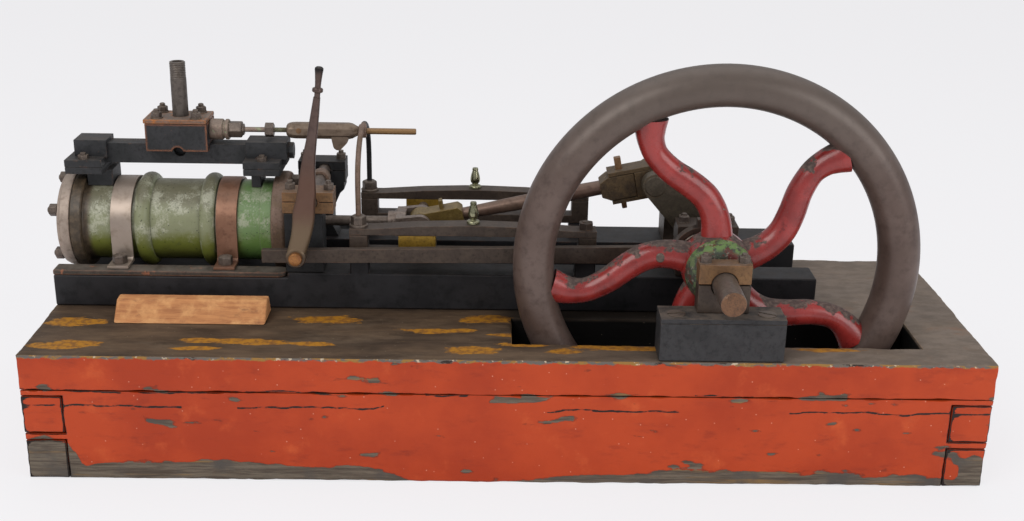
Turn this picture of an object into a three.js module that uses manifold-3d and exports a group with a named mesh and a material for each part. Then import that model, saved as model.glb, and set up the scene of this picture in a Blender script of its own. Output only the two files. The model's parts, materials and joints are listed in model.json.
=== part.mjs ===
// A horizontal model steam engine on a box base: single cylinder with a slide valve above it, two
// pairs of slide bars, a double-web crank with an open flywheel, and an eccentric that rocks the
// valve gear through a hand lever. Millimetres, +Z up, +X from the cylinder towards the crank,
// +Y from the flywheel side towards the back.
import * as THREE from "three";
import { mergeVertices } from "three/addons/utils/BufferGeometryUtils.js";
import Module from "manifold-3d";

const wasm = await Module();
wasm.setup();

// ---- driving dimensions -------------------------------------------------------------------
// Everything below is laid out from the middle of the base in X, its front face in Y and the
// top of its plank in Z. FRAME moves that layout so that the bounding box stands on the origin.
const BASE = { length: 840, depth: 262, height: 118, plank: 33, board: 14, endBoard: 35 };
// Heights of the end boards' fingers, from the top of the plank.
const FINGERS = [[-74, -39], [-118, -81]];
const SHAFT = { x: 181.5, z: 65, radius: 11, front: -30, back: 258 };
const ENGINE_Y = 177; // the plane of the cylinder, piston rod and connecting rod
const CRANK = { radius: 66, angle: 135, webThickness: 14, gap: 32 };
const ROD_LENGTH = 225;
const COVER_OVERHANG = 9.3; // how far the rear cover's nuts reach past the end of the base
const FRAME = new THREE.Vector3(COVER_OVERHANG / 2, -(BASE.depth + SHAFT.front) / 2, BASE.height);

const GAP = 0.3; // between pieces that touch
const RUN = 0.6; // between pieces that move past each other

const FLYWHEEL = { y: 65, rimRadius: 161.5, rimRadial: 18.2, rimAxial: 20, hubRadius: 30, spokes: 5 };
// A spoke's centre line: distance from the shaft, and degrees ahead of where it meets the rim.
const SPOKE_LINE = [
  [15, -23], [48, -19.5], [64, -13.5], [80, -5], [97, 2], [115, 4.8], [130, 4], [152, 0],
];
const FIRST_SPOKE = 115.3;
const SPOKE_SECTION = { halfWidth: 11, halfDepth: 12 };
const ECCENTRIC = { offset: 8.5, angle: 190, radius: 21, strap: 4.5, y0: 94, y1: 107 };
const BED = { front: 112, back: 260, left: -420, right: 285, height: 35, strip: 18, rail: 33, floor: 14 };
const SOLE_THICKNESS = 5;
const BAR = { left: -147, right: 79, width: 18, upperZ: 72.5, lowerZ: 57.5, thickness: 6, belly: 4 };
const SLIPPER_HALF = 17;
const CYLINDER = { left: -407.7, right: -222.3, radius: 38.4, bore: 27, coverRadius: 45 };
const PISTON_ROD_RADIUS = 5;
const VALVE_Z = 153.5;
const VALVE_ROD_RADIUS = 2.4;
const CHEST = { left: -338, right: -281, halfDepth: 18, bottom: 136, top: 162 };
const BEAM = { left: -405, right: -210, halfDepth: 9, bottom: 122, top: 141 };
const ROCKER = { x: -181.5, z: 103, radius: 6, pinX: -192, pinZ: 60 };
const LINK_PIN = { x: -162, z: 140.5, radius: 2.5 };
const HOOP_X = -139;

// The connecting rod's two ends at rest.
const degrees = (angle) => (angle * Math.PI) / 180;
const CRANK_PIN = {
  x: SHAFT.x + CRANK.radius * Math.cos(degrees(CRANK.angle)),
  z: SHAFT.z + CRANK.radius * Math.sin(degrees(CRANK.angle)),
};
const ROD_ANGLE = Math.asin((CRANK_PIN.z - SHAFT.z) / ROD_LENGTH);
const GUDGEON_X = CRANK_PIN.x - ROD_LENGTH * Math.cos(ROD_ANGLE);
const SHEAVE = {
  x: SHAFT.x + ECCENTRIC.offset * Math.cos(degrees(ECCENTRIC.angle)),
  z: SHAFT.z + ECCENTRIC.offset * Math.sin(degrees(ECCENTRIC.angle)),
};
// Both pairs of slide bars stand the same distance from the engine's centre plane.
const NEAR_BAR_Y = BED.front + BAR.width / 2;
const FAR_BAR_Y = 2 * ENGINE_Y - NEAR_BAR_Y;

// ---- materials ----------------------------------------------------------------------------
const finish = (color, roughness, metalness) =>
  new THREE.MeshStandardMaterial({ color, roughness, metalness });
const FINISH = {
  base: () => finish(0xb04a2c, 0.6, 0),
  plank: () => finish(0x3a2a22, 0.75, 0),
  bareWood: () => finish(0x9c7a6a, 0.8, 0),
  black: () => finish(0x26282b, 0.5, 0.1),
  iron: () => finish(0x55443d, 0.45, 0.8),
  green: () => finish(0x6f7f4a, 0.5, 0.2),
  brass: () => finish(0x9a7430, 0.4, 0.9),
  red: () => finish(0xa8352e, 0.45, 0.1),
};

// ---- geometry helpers ---------------------------------------------------------------------
// A three.js geometry as a closed solid, turned to face out.
function solid(geometry) {
  const bare = geometry.clone();
  bare.deleteAttribute("normal");
  bare.deleteAttribute("uv");
  const merged = mergeVertices(bare, 1e-4);
  const triVerts = new Uint32Array(merged.index.array);
  const vertProperties = new Float32Array(merged.attributes.position.array);
  const build = () => new wasm.Manifold(new wasm.Mesh({ numProp: 3, vertProperties, triVerts }));
  const made = build();
  if (made.volume() > 0) return made;
  triVerts.reverse();
  return build();
}

// The sum of several solids.
const join = (...pieces) => pieces.reduce((sum, piece) => sum.add(piece));

// A solid less several others.
const cut = (body, ...tools) => tools.reduce((rest, tool) => rest.subtract(tool), body);

function box(x0, x1, y0, y1, z0, z1) {
  const geometry = new THREE.BoxGeometry(x1 - x0, y1 - y0, z1 - z0);
  return solid(geometry.translate((x0 + x1) / 2, (y0 + y1) / 2, (z0 + z1) / 2));
}

// A body of revolution from [radius, distance along the axis] pairs, about an axis through
// (0, 0, 0) along X, Y or Z.
function turned(axis, profile, segments = 24) {
  const geometry = new THREE.LatheGeometry(profile.map(([r, h]) => new THREE.Vector2(r, h)), segments);
  if (axis === "x") geometry.rotateZ(-Math.PI / 2);
  if (axis === "z") geometry.rotateX(Math.PI / 2);
  return solid(geometry);
}

// A plain cylinder between two distances along an axis, through the point (a, b) of the plane
// across it: (y, z) for X, (x, z) for Y, (x, y) for Z.
function rod(axis, radius, from, to, a, b, segments = 16) {
  const piece = turned(axis, [[0, from], [radius, from], [radius, to], [0, to]], segments);
  return piece.translate(axis === "x" ? [0, a, b] : axis === "y" ? [a, 0, b] : [a, b, 0]);
}

// A hexagon nut with a rounded stud end, standing on a face at height `base` along the axis.
function nut(axis, acrossCorners, height, base, a, b, direction = 1, stud = 2) {
  const top = base + direction * height;
  const end = top + direction * stud;
  const hexagon = rod(axis, acrossCorners / 2, Math.min(base, top), Math.max(base, top), a, b, 6);
  const low = Math.min(base, end);
  return join(hexagon, rod(axis, acrossCorners * 0.27, low, Math.max(base, end), a, b, 6));
}

const outline = (points) => new THREE.Shape(points.map(([x, y]) => new THREE.Vector2(x, y)));

// A flat shape drawn in X and Z, from y0 to y1.
function plateY(shape, y0, y1, curveSegments = 9) {
  const geometry = new THREE.ExtrudeGeometry(shape, { depth: y1 - y0, bevelEnabled: false, curveSegments });
  return solid(geometry.rotateX(Math.PI / 2).translate(0, y1, 0));
}

// A flat shape drawn in Y and Z, from x0 to x1.
function plateX(shape, x0, x1, curveSegments = 9) {
  const geometry = new THREE.ExtrudeGeometry(shape, { depth: x1 - x0, bevelEnabled: false, curveSegments });
  const turn = new THREE.Matrix4().makeBasis(
    new THREE.Vector3(0, 1, 0),
    new THREE.Vector3(0, 0, 1),
    new THREE.Vector3(1, 0, 0),
  );
  return solid(geometry.applyMatrix4(turn).translate(x0, 0, 0));
}

// The outline that two circles and their outer tangents make: an arm with two round ends.
function arm(ax, ay, aRadius, bx, by, bRadius) {
  const along = Math.atan2(by - ay, bx - ax);
  const open = Math.acos((aRadius - bRadius) / Math.hypot(bx - ax, by - ay));
  const shape = new THREE.Shape();
  shape.absarc(ax, ay, aRadius, along + open, along - open + 2 * Math.PI, false);
  shape.absarc(bx, by, bRadius, along - open, along + open, false);
  return shape;
}

// A round bar of one section along a curve.
function bent(curve, radius, steps, sides = 8) {
  const section = new THREE.Shape().absarc(0, 0, radius, 0, 2 * Math.PI, false);
  const options = { steps, curveSegments: sides / 2, bevelEnabled: false, extrudePath: curve };
  return solid(new THREE.ExtrudeGeometry(section, options));
}

// ---- the assembly -------------------------------------------------------------------------
const engine = new THREE.Group();
engine.name = "model_steam_engine";
engine.position.copy(FRAME);

function add(name, piece, material) {
  const data = piece.getMesh();
  const geometry = new THREE.BufferGeometry();
  geometry.setAttribute("position", new THREE.BufferAttribute(data.vertProperties, 3));
  geometry.setIndex(new THREE.BufferAttribute(data.triVerts, 1));
  const mesh = new THREE.Mesh(geometry, material());
  mesh.name = name;
  engine.add(mesh);
}

// ---- base: a plank on an open box of finger-jointed boards ----------------------------------
function addBase() {
  const half = BASE.length / 2;
  const pit = { x0: 35, x1: 275, y0: ENGINE_Y - 31, y1: ENGINE_Y + 31 };
  const slot = { x0: 2, x1: 364, y0: 35, y1: 95 };
  const plank = cut(
    box(-half, half, 0, BASE.depth, -BASE.plank, 0),
    box(slot.x0, slot.x1, slot.y0, slot.y1, -BASE.plank - 1, 1),
    box(pit.x0, pit.x1, pit.y0, pit.y1, -BASE.plank - 1, 1),
  );
  add("base_top_plank", plank, FINISH.plank);

  // Two tall fingers of each end board pass through the ends of both long boards.
  const top = -BASE.plank - GAP;
  const cornerX = [-half, half - BASE.endBoard];
  const cornerY = [0, BASE.depth - BASE.board];
  const corner = (x0, y0, z0, z1, grow) =>
    box(x0 - grow, x0 + BASE.endBoard + grow, y0 - grow, y0 + BASE.board + grow, z0 - grow, z1 + grow);
  const longBoard = (y0) => {
    const board = box(-half, half, y0, y0 + BASE.board, -BASE.height, top);
    return cut(board, ...cornerX.flatMap((x0) => FINGERS.map(([z0, z1]) => corner(x0, y0, z0, z1, GAP))));
  };
  const endBoard = (x0) => {
    const x1 = x0 + BASE.endBoard;
    const fingers = FINGERS.map(([z0, z1]) => box(x0, x1, 0, BASE.depth, z0, z1));
    const inset = BASE.board + GAP;
    return join(box(x0, x1, inset, BASE.depth - inset, -BASE.height, top), ...fingers);
  };
  add("base_front_board", longBoard(cornerY[0]), FINISH.base);
  add("base_back_board", longBoard(cornerY[1]), FINISH.base);
  add("base_left_board", endBoard(cornerX[0]), FINISH.base);
  add("base_right_board", endBoard(cornerX[1]), FINISH.base);

  const wedge = outline([[70, GAP], [106, GAP], [100, 20], [88, 20]]);
  add("loose_wood_wedge", plateX(wedge, -356, -220), FINISH.bareWood);
}

// ---- bed: two rails joined by a floor under the cylinder ------------------------------------
function addBed() {
  const { front, back, left, right, height, strip, rail, floor } = BED;
  const wide = -205; // the rails widen from here to the crank end
  const farStrip = 2 * ENGINE_Y - front - strip;
  const farRail = 2 * ENGINE_Y - front - rail;
  const low = height - SOLE_THICKNESS; // the near strip is lower, under its sole plate
  const foot = (x0, x1, y) => box(x0, x1, y - BAR.width / 2, y + BAR.width / 2, 1, BAR.lowerZ - 8 - GAP);
  const feet = [NEAR_BAR_Y, FAR_BAR_Y].flatMap((y) => [
    foot(BAR.left, BAR.left + 17, y),
    foot(BAR.right - 19, BAR.right, y),
  ]);
  const bed = join(
    box(left, wide + 1, front, front + strip, GAP, low),
    box(left, wide + 1, farStrip, back, GAP, height),
    box(wide, right, front, front + rail, GAP, height),
    box(wide, right, farRail, back, GAP, height),
    box(left, 10, front + 1, back - 1, GAP, floor),
    ...feet,
  );
  add("engine_bed", bed, FINISH.black);
  const sole = box(left, wide - GAP, front, front + strip, low + GAP, height);
  add("near_sole_plate", sole, FINISH.iron);
}

// ---- cylinder -------------------------------------------------------------------------------
const STUD_CIRCLE = 38;
const STUD_ANGLES = [152, 224, 296, 8, 80]; // from +Y towards +Z

// Nuts round a cover, standing on the face at `base`.
function coverNuts(base, direction) {
  return STUD_ANGLES.map((angle) => {
    const y = ENGINE_Y + STUD_CIRCLE * Math.cos(degrees(angle));
    const z = SHAFT.z + STUD_CIRCLE * Math.sin(degrees(angle));
    return nut("x", 12, 7.5, base, y, z, direction, 1.8);
  });
}

function addCylinder() {
  const { left, right, radius, bore, coverRadius } = CYLINDER;
  const flange = 10.5;
  const frontFlangeRadius = 40;
  // A half-round moulding centred on x.
  const moulding = (x) => {
    const points = [[bore + 2, x - 7]];
    for (let step = 0; step <= 4; step += 1) {
      const angle = (step / 4) * Math.PI;
      points.push([radius - 0.5 + 6.5 * Math.sin(angle), x - 7.5 * Math.cos(angle)]);
    }
    points.push([bore + 2, x + 7], [bore + 2, x - 7]);
    return turned("x", points, 32);
  };
  const barrel = join(
    turned("x", [
      [bore, left], [coverRadius, left], [coverRadius, left + flange], [radius, left + flange],
      [radius, right - flange], [frontFlangeRadius, right - flange], [frontFlangeRadius, right],
      [bore, right], [bore, left],
    ], 32),
    moulding(-342),
    moulding(-282),
  ).translate([0, ENGINE_Y, SHAFT.z]);
  add("cylinder_barrel", barrel, FINISH.green);

  // The rear cover is a plain stepped disc with a spigot in the bore.
  const rearFace = left - GAP;
  const rear = turned("x", [
    [0, rearFace - 12], [coverRadius - 2, rearFace - 12], [coverRadius, rearFace - 9],
    [coverRadius, rearFace], [bore - GAP, rearFace], [bore - GAP, rearFace + 5], [0, rearFace + 5],
  ], 32).translate([0, ENGINE_Y, SHAFT.z]);
  add("rear_cylinder_cover", join(rear, ...coverNuts(rearFace - 12, -1)), FINISH.iron);

  // The front cover carries the stuffing box for the piston rod.
  const frontFace = right + GAP;
  const outer = frontFace + 14;
  const boxEnd = outer + 10;
  const frontRadius = 47;
  const hole = PISTON_ROD_RADIUS + RUN;
  const front = turned("x", [
    [hole, frontFace - 5], [bore - GAP, frontFace - 5], [bore - GAP, frontFace],
    [frontRadius - 2, frontFace], [frontRadius, frontFace + 2], [frontRadius, outer - 3],
    [frontRadius - 3, outer], [16, outer], [16, boxEnd], [9.5, boxEnd], [9.5, frontFace + 4],
    [hole, frontFace + 4], [hole, frontFace - 5],
  ], 32).translate([0, ENGINE_Y, SHAFT.z]);
  add("front_cylinder_cover", join(front, ...coverNuts(outer, 1)), FINISH.iron);

  const gland = turned("x", [
    [hole, frontFace + 6], [9, frontFace + 6], [9, boxEnd + GAP], [14, boxEnd + GAP],
    [14, boxEnd + 4], [hole, boxEnd + 4], [hole, frontFace + 6],
  ], 24).translate([0, ENGINE_Y, SHAFT.z]);
  add("piston_rod_gland", gland, FINISH.brass);

  addBand("rear_cylinder_band", -371);
  addBand("front_cylinder_band", -273.5);
}

// A strap over the barrel with a foot and a bolt on each side.
function addBand(name, x0) {
  const width = 19.5;
  const inner = CYLINDER.radius + GAP;
  const outer = inner + 2.4;
  const footTop = BED.height + 3;
  const footReach = 61;
  const shape = new THREE.Shape();
  shape.moveTo(-footReach, BED.height + GAP - SHAFT.z);
  shape.lineTo(-inner, BED.height + GAP - SHAFT.z);
  shape.lineTo(-inner, 0);
  shape.absarc(0, 0, inner, Math.PI, 0, true);
  shape.lineTo(inner, BED.height + GAP - SHAFT.z);
  shape.lineTo(footReach, BED.height + GAP - SHAFT.z);
  shape.lineTo(footReach, footTop - SHAFT.z);
  shape.lineTo(outer, footTop - SHAFT.z);
  shape.lineTo(outer, 0);
  shape.absarc(0, 0, outer, 0, Math.PI, false);
  shape.lineTo(-outer, footTop - SHAFT.z);
  shape.lineTo(-footReach, footTop - SHAFT.z);
  const strap = plateX(shape, x0, x0 + width, 14).translate([0, ENGINE_Y, SHAFT.z]);
  const bolts = [-1, 1].map((side) =>
    nut("z", 14, 8, footTop, x0 + width / 2, ENGINE_Y + side * 51, 1, 0.8));
  add(name, join(strap, ...bolts), FINISH.iron);
}

// ---- steam side: ports, passage beam, valve chest ---------------------------------------------
function addSteamSide() {
  const flangeBottom = 115.6;
  const flangeTop = 122;
  const clearance = rod("x", CYLINDER.radius + GAP, -500, 0, ENGINE_Y, SHAFT.z, 32);
  const neck = (x0, x1, flangeX0, flangeX1) => join(
    cut(box(x0, x1, ENGINE_Y - 14, ENGINE_Y + 14, SHAFT.z + 20, flangeBottom + 1), clearance),
    box(flangeX0, flangeX1, ENGINE_Y - 27, ENGINE_Y + 27, flangeBottom, flangeTop),
  );
  add("rear_port_neck", neck(-396, -372, -412, -378), FINISH.black);
  add("front_port_neck", neck(-243, -234, -248, -214), FINISH.black);

  // The beam carries steam to both ports: a bar with a flange plate and a head at each end.
  const { left, right, halfDepth, bottom, top } = BEAM;
  const head = (x0, x1) => box(x0, x1, ENGINE_Y - 13, ENGINE_Y + 13, flangeTop + 6, 144.5);
  const plate = (x0, x1) => box(x0, x1, ENGINE_Y - 27, ENGINE_Y + 27, flangeTop + GAP, flangeTop + 6.8);
  const flangeBolt = (x, side) => nut("z", 10, 4, flangeTop + 6.5, x, ENGINE_Y + side * 20, 1, 2);
  const beam = join(
    box(left, right, ENGINE_Y - halfDepth, ENGINE_Y + halfDepth, bottom + GAP, top),
    head(-406, -376), plate(-412, -378),
    head(-247, -209), plate(-248, -214),
    rod("x", 8, -212, -204, ENGINE_Y, 134, 8),
    ...[-1, 1].flatMap((side) => [flangeBolt(-396, side), flangeBolt(-231, side)]),
  );
  const exhaustX = -309;
  const exhaust = rod("y", 5.5, ENGINE_Y - 40, ENGINE_Y - 3, exhaustX, 134.5, 16);
  add("steam_passage_beam", cut(beam, exhaust), FINISH.black);

  const { halfDepth: depth } = CHEST;
  const chest = cut(
    box(CHEST.left, CHEST.right, ENGINE_Y - depth, ENGINE_Y + depth, CHEST.bottom, CHEST.top),
    box(CHEST.left + 6, CHEST.right - 6, ENGINE_Y - 12, ENGINE_Y + 12, 144, CHEST.top + 1),
    box(CHEST.left - 1, CHEST.right + 1, ENGINE_Y - halfDepth - GAP, ENGINE_Y + halfDepth + GAP,
      CHEST.bottom - 1, top + GAP),
    rod("x", 8 + GAP, CHEST.right - 7, CHEST.right + 1, ENGINE_Y, VALVE_Z, 20),
    exhaust,
  );
  add("valve_chest", chest, FINISH.black);

  const pipeX = -308;
  const pipeRadius = 7.3;
  const cover = cut(
    box(CHEST.left - 1, CHEST.right, ENGINE_Y - depth - 1, ENGINE_Y + depth + 1,
      CHEST.top + GAP, CHEST.top + 4.3),
    rod("z", pipeRadius + GAP, CHEST.top - 2, CHEST.top + 6, pipeX, ENGINE_Y, 24),
  );
  const studs = [-1, 1].flatMap((sx) => [-1, 1].map((sy) =>
    nut("z", 10, 6, CHEST.top + 4, (CHEST.left + CHEST.right) / 2 + sx * 18, ENGINE_Y + sy * 12, 1, 3)));
  add("valve_chest_cover", join(cover, ...studs), FINISH.brass);

  const pipeBore = 4.5;
  const pipe = turned("z", [
    [pipeBore, 160], [pipeRadius, 160], [pipeRadius, 217], [pipeBore, 217], [pipeBore, 160],
  ], 24).translate([pipeX, ENGINE_Y, 0]);
  add("steam_pipe", pipe, FINISH.iron);

  const rodHole = VALVE_ROD_RADIUS + RUN;
  const neckEnd = -262;
  const stuffing = turned("x", [
    [0, CHEST.right - 6], [8, CHEST.right - 6], [8, CHEST.right + GAP],
    [9.8, CHEST.right + GAP], [9.8, neckEnd], [0, neckEnd],
  ], 24).translate([0, ENGINE_Y, VALVE_Z]);
  const glandNut = rod("x", 8, neckEnd - 1, -249.5, ENGINE_Y, VALVE_Z, 6);
  const passage = rod("x", rodHole, CHEST.right - 8, -240, ENGINE_Y, VALVE_Z, 16);
  add("valve_stuffing_box", cut(join(stuffing, glandNut), passage), FINISH.brass);
}

// ---- valve, its rod, and the link that the rocker pushes ----------------------------------------
function addValve() {
  const valve = cut(
    box(-311, -291, ENGINE_Y - 9, ENGINE_Y + 9, 144.5, 158),
    rod("x", VALVE_ROD_RADIUS + GAP, -320, -280, ENGINE_Y, VALVE_Z, 16),
  );
  add("slide_valve", valve, FINISH.brass);
  const linkLeft = -210;
  const valveRod = join(
    rod("x", VALVE_ROD_RADIUS, -314, linkLeft + 9, ENGINE_Y, VALVE_Z, 16),
    rod("x", 7, -230, -222, ENGINE_Y, VALVE_Z, 6),
  );
  add("valve_rod", valveRod, FINISH.iron);

  // An eight-sided bar that tapers to a round guide rod, with a lug for the rocker's pin.
  const halfWidth = 7.4;
  const chamfer = 3;
  const section = outline([
    [-halfWidth, chamfer - halfWidth], [chamfer - halfWidth, -halfWidth],
    [halfWidth - chamfer, -halfWidth], [halfWidth, chamfer - halfWidth],
    [halfWidth, halfWidth - chamfer], [halfWidth - chamfer, halfWidth],
    [chamfer - halfWidth, halfWidth], [-halfWidth, halfWidth - chamfer],
  ]);
  const bar = plateX(section, linkLeft + 3, -149).translate([0, ENGINE_Y, VALVE_Z]);
  const nose = rod("x", 6.2, linkLeft, linkLeft + 4, ENGINE_Y, VALVE_Z, 12);
  const taper = turned("x", [[0, -150], [7, -150], [3, -139], [3, -89], [0, -89]], 16)
    .translate([0, ENGINE_Y, VALVE_Z]);
  const lug = plateY(arm(LINK_PIN.x, LINK_PIN.z, 7.2, LINK_PIN.x + 2, VALVE_Z - 6, 10.5),
    ENGINE_Y - 6, ENGINE_Y + 5);
  const pin = rod("y", LINK_PIN.radius, ENGINE_Y - 8.5, ENGINE_Y + 16.5, LINK_PIN.x, LINK_PIN.z, 16);
  const link = cut(
    join(bar, nose, taper, lug, pin),
    rod("x", VALVE_ROD_RADIUS + GAP, linkLeft - 1, linkLeft + 10, ENGINE_Y, VALVE_Z, 16),
  );
  add("valve_link", link, FINISH.iron);
}

// ---- rocker: hand lever, shaft, inner arm and its two pedestals ----------------------------------
function addRocker() {
  const { x, z, radius, pinX, pinZ } = ROCKER;
  const leverY0 = 82;
  const leverY1 = 91;
  const blade = outline([
    [-200.5, 62], [-196.3, 79], [-193.8, 100], [-190, 116], [-184.5, 146], [-172, 208],
    [-166.5, 208], [-171.8, 146], [-173.2, 116], [-173.6, 100], [-178.3, 79], [-184, 62],
  ]);
  const boss = rod("y", 9, leverY0, leverY1, pinX, pinZ, 20);
  const grip = turned("z", [
    [0, -4], [2.7, -4], [2.7, 2.6], [4.7, 3], [4.7, 6], [2.6, 6.8], [2.9, 14], [3.8, 22.5], [3.1, 24.6],
    [0, 25],
  ], 16).rotate([0, 6, 0]).translate([-168.2, (leverY0 + leverY1) / 2, 208]);
  // The shaft sits in a blind hole, so the lever's front face is unbroken above the pin.
  const socket = leverY0 + 3;
  const lever = cut(
    join(plateY(blade, leverY0, leverY1), boss, grip),
    rod("y", radius + GAP, socket, leverY1 + 1, x, z, 20),
    rod("y", 4 + GAP, leverY0 - 1, leverY1 + 1, pinX, pinZ, 16),
  );
  add("hand_lever", lever, FINISH.iron);

  // The pin stops short of the eccentric rod, whose eye it would carry.
  const pin = join(
    rod("y", 6.2, leverY0 - 5, leverY0 - GAP, pinX, pinZ, 20),
    rod("y", 4, leverY0 - 1, leverY1 + 2, pinX, pinZ, 16),
  );
  add("lever_pin", pin, FINISH.brass);
  add("rocker_shaft", rod("y", radius, socket + GAP, 243, x, z, 20), FINISH.iron);

  // The inner arm drives the link's pin through a slot along the arm.
  const armY0 = ENGINE_Y + 8;
  const armY1 = armY0 + 7;
  const lean = Math.atan2(LINK_PIN.x - x, LINK_PIN.z - z);
  const reach = Math.hypot(LINK_PIN.x - x, LINK_PIN.z - z);
  const slotRadius = LINK_PIN.radius + 0.8;
  const upright = cut(
    join(
      plateY(arm(0, 0, 11, 0, reach - 1, 6), armY0, armY1),
      rod("y", 11, armY0 - 2, armY1 + 3, 0, 0, 24),
    ),
    plateY(arm(0, reach - 6.2, slotRadius - 0.01, 0, reach + 0.4, slotRadius), armY0 - 1, armY1 + 1),
    rod("y", radius + GAP, armY0 - 4, armY1 + 4, 0, 0, 20),
  );
  add("rocker_arm", upright.rotate([0, (lean * 180) / Math.PI, 0]).translate([x, 0, z]), FINISH.iron);

  // Pedestal outlines: the near one is a plain block set towards the cylinder, the far one
  // narrows to a slim stem.
  const seat = 92;
  const block = outline([[-24.5, BED.height + GAP], [10.5, BED.height + GAP], [10.5, seat], [-24.5, seat]]);
  const stem = outline([
    [-12, BED.height + GAP], [12, BED.height + GAP], [7, 46], [7, 62], [15, 80], [19, 84],
    [19, seat], [-19, seat], [-19, 84], [-15, 80], [-7, 62], [-7, 46],
  ]);
  const halfDepth = 12;
  const nearY = 125;
  const farY = 2 * ENGINE_Y - nearY;
  const pedestal = (shape, y) => plateY(shape, y - halfDepth, y + halfDepth).translate([x, 0, 0]);
  const bearing = (y, bottom) => {
    const bolts = [-19.5, 15.5].map((dx) => nut("z", 10, 6, 111.5, x + dx, y, 1, 3));
    const brass = box(x - 25.5, x + 20.5, y - halfDepth, y + halfDepth, bottom, 112);
    const split = [-26.5, 7.5].map((dx) =>
      box(x + dx, x + dx + 19, y - 20, y + 20, z - 0.4, z + 0.4));
    const hole = rod("y", radius + RUN, y - 20, y + 20, x, z, 20);
    return join(cut(brass, hole, ...split), ...bolts);
  };
  add("near_rocker_pedestal", pedestal(block, nearY), FINISH.black);
  add("near_rocker_bearing", bearing(nearY, seat + GAP), FINISH.brass);
  add("far_rocker_pedestal", join(pedestal(stem, farY), bearing(farY, seat - 1)), FINISH.black);
}

// ---- slide bars -----------------------------------------------------------------------------
function addSlideBars() {
  const { left, right, width, upperZ, lowerZ, thickness, belly } = BAR;
  const middle = (left + right) / 2;
  const upper = new THREE.Shape();
  upper.moveTo(left, upperZ);
  upper.lineTo(right, upperZ);
  upper.lineTo(right, upperZ + thickness);
  upper.lineTo(right - 22, upperZ + thickness);
  upper.quadraticCurveTo(middle, upperZ + thickness + 2 * belly, left + 22, upperZ + thickness);
  upper.lineTo(left, upperZ + thickness);
  const seat = lowerZ - 8;
  const blockLength = 16.5;
  const boltX = right - 9.5;
  const barTop = upperZ + thickness - 0.5;
  const sides = [["near", NEAR_BAR_Y], ["far", FAR_BAR_Y]];
  for (const [side, y] of sides) {
    const y0 = y - width / 2;
    const y1 = y + width / 2;
    const bar = join(plateY(upper, y0, y1), nut("z", 14, 7, barTop, boltX, y, 1, 0.8));
    add(`${side}_upper_slide_bar`, bar, FINISH.iron);
    // The lower bar has a block at each end that the upper bar is bolted down on.
    const block = (x0) => box(x0, x0 + blockLength, y0, y1, lowerZ - 1, upperZ - GAP);
    const lower = join(box(left, right, y0, y1, seat, lowerZ), block(left), block(right - blockLength));
    add(`${side}_lower_slide_bar`, lower, FINISH.iron);
    const cup = turned("z", [
      [0, 0], [6, 0], [6, 2.5], [3, 3.5], [3, 6], [5.2, 9], [5.4, 13], [3, 17], [3, 20], [0, 20.5],
    ], 16).translate([middle, y, upperZ + thickness + belly + GAP]);
    add(`${side}_oil_cup`, cup, FINISH.brass);
  }

  // The hoop stands on the rear end of both upper bars and guides the valve link.
  const foot = upperZ + thickness + GAP;
  const shoulder = 118;
  const crown = VALVE_Z + 5.6;
  const half = (FAR_BAR_Y - NEAR_BAR_Y) / 2;
  const points = [
    new THREE.Vector3(HOOP_X, NEAR_BAR_Y, foot + 1),
    new THREE.Vector3(HOOP_X, NEAR_BAR_Y, 100),
  ];
  const arcSteps = 8;
  for (let step = 0; step <= arcSteps; step += 1) {
    const angle = Math.PI * (1 - step / arcSteps);
    const y = ENGINE_Y + half * Math.cos(angle);
    points.push(new THREE.Vector3(HOOP_X, y, shoulder + (crown - shoulder) * Math.sin(angle)));
  }
  points.push(new THREE.Vector3(HOOP_X, FAR_BAR_Y, 100), new THREE.Vector3(HOOP_X, FAR_BAR_Y, foot + 1));
  const hoop = bent(new THREE.CatmullRomCurve3(points), 2.5, 20, 6);
  const feet = sides.map(([, y]) => join(
    rod("z", 8.5, foot, foot + 2, HOOP_X, y, 16),
    rod("z", 7.5, foot + 1.5, foot + 10, HOOP_X, y, 6),
  ));
  const eye = rod("x", 6.4, HOOP_X - 3.5, HOOP_X + 3.5, ENGINE_Y, VALVE_Z, 20);
  const eyeHole = rod("x", 3 + RUN, HOOP_X - 5, HOOP_X + 5, ENGINE_Y, VALVE_Z, 16);
  const taperRoom = turned("x", [[0, -170], [8.6, -170], [8.6, -151], [3.6, -139], [0, -139]], 16)
    .translate([0, ENGINE_Y, VALVE_Z]);
  add("valve_guide_hoop", cut(join(hoop, eye, ...feet), eyeHole, taperRoom), FINISH.iron);
}

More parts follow.
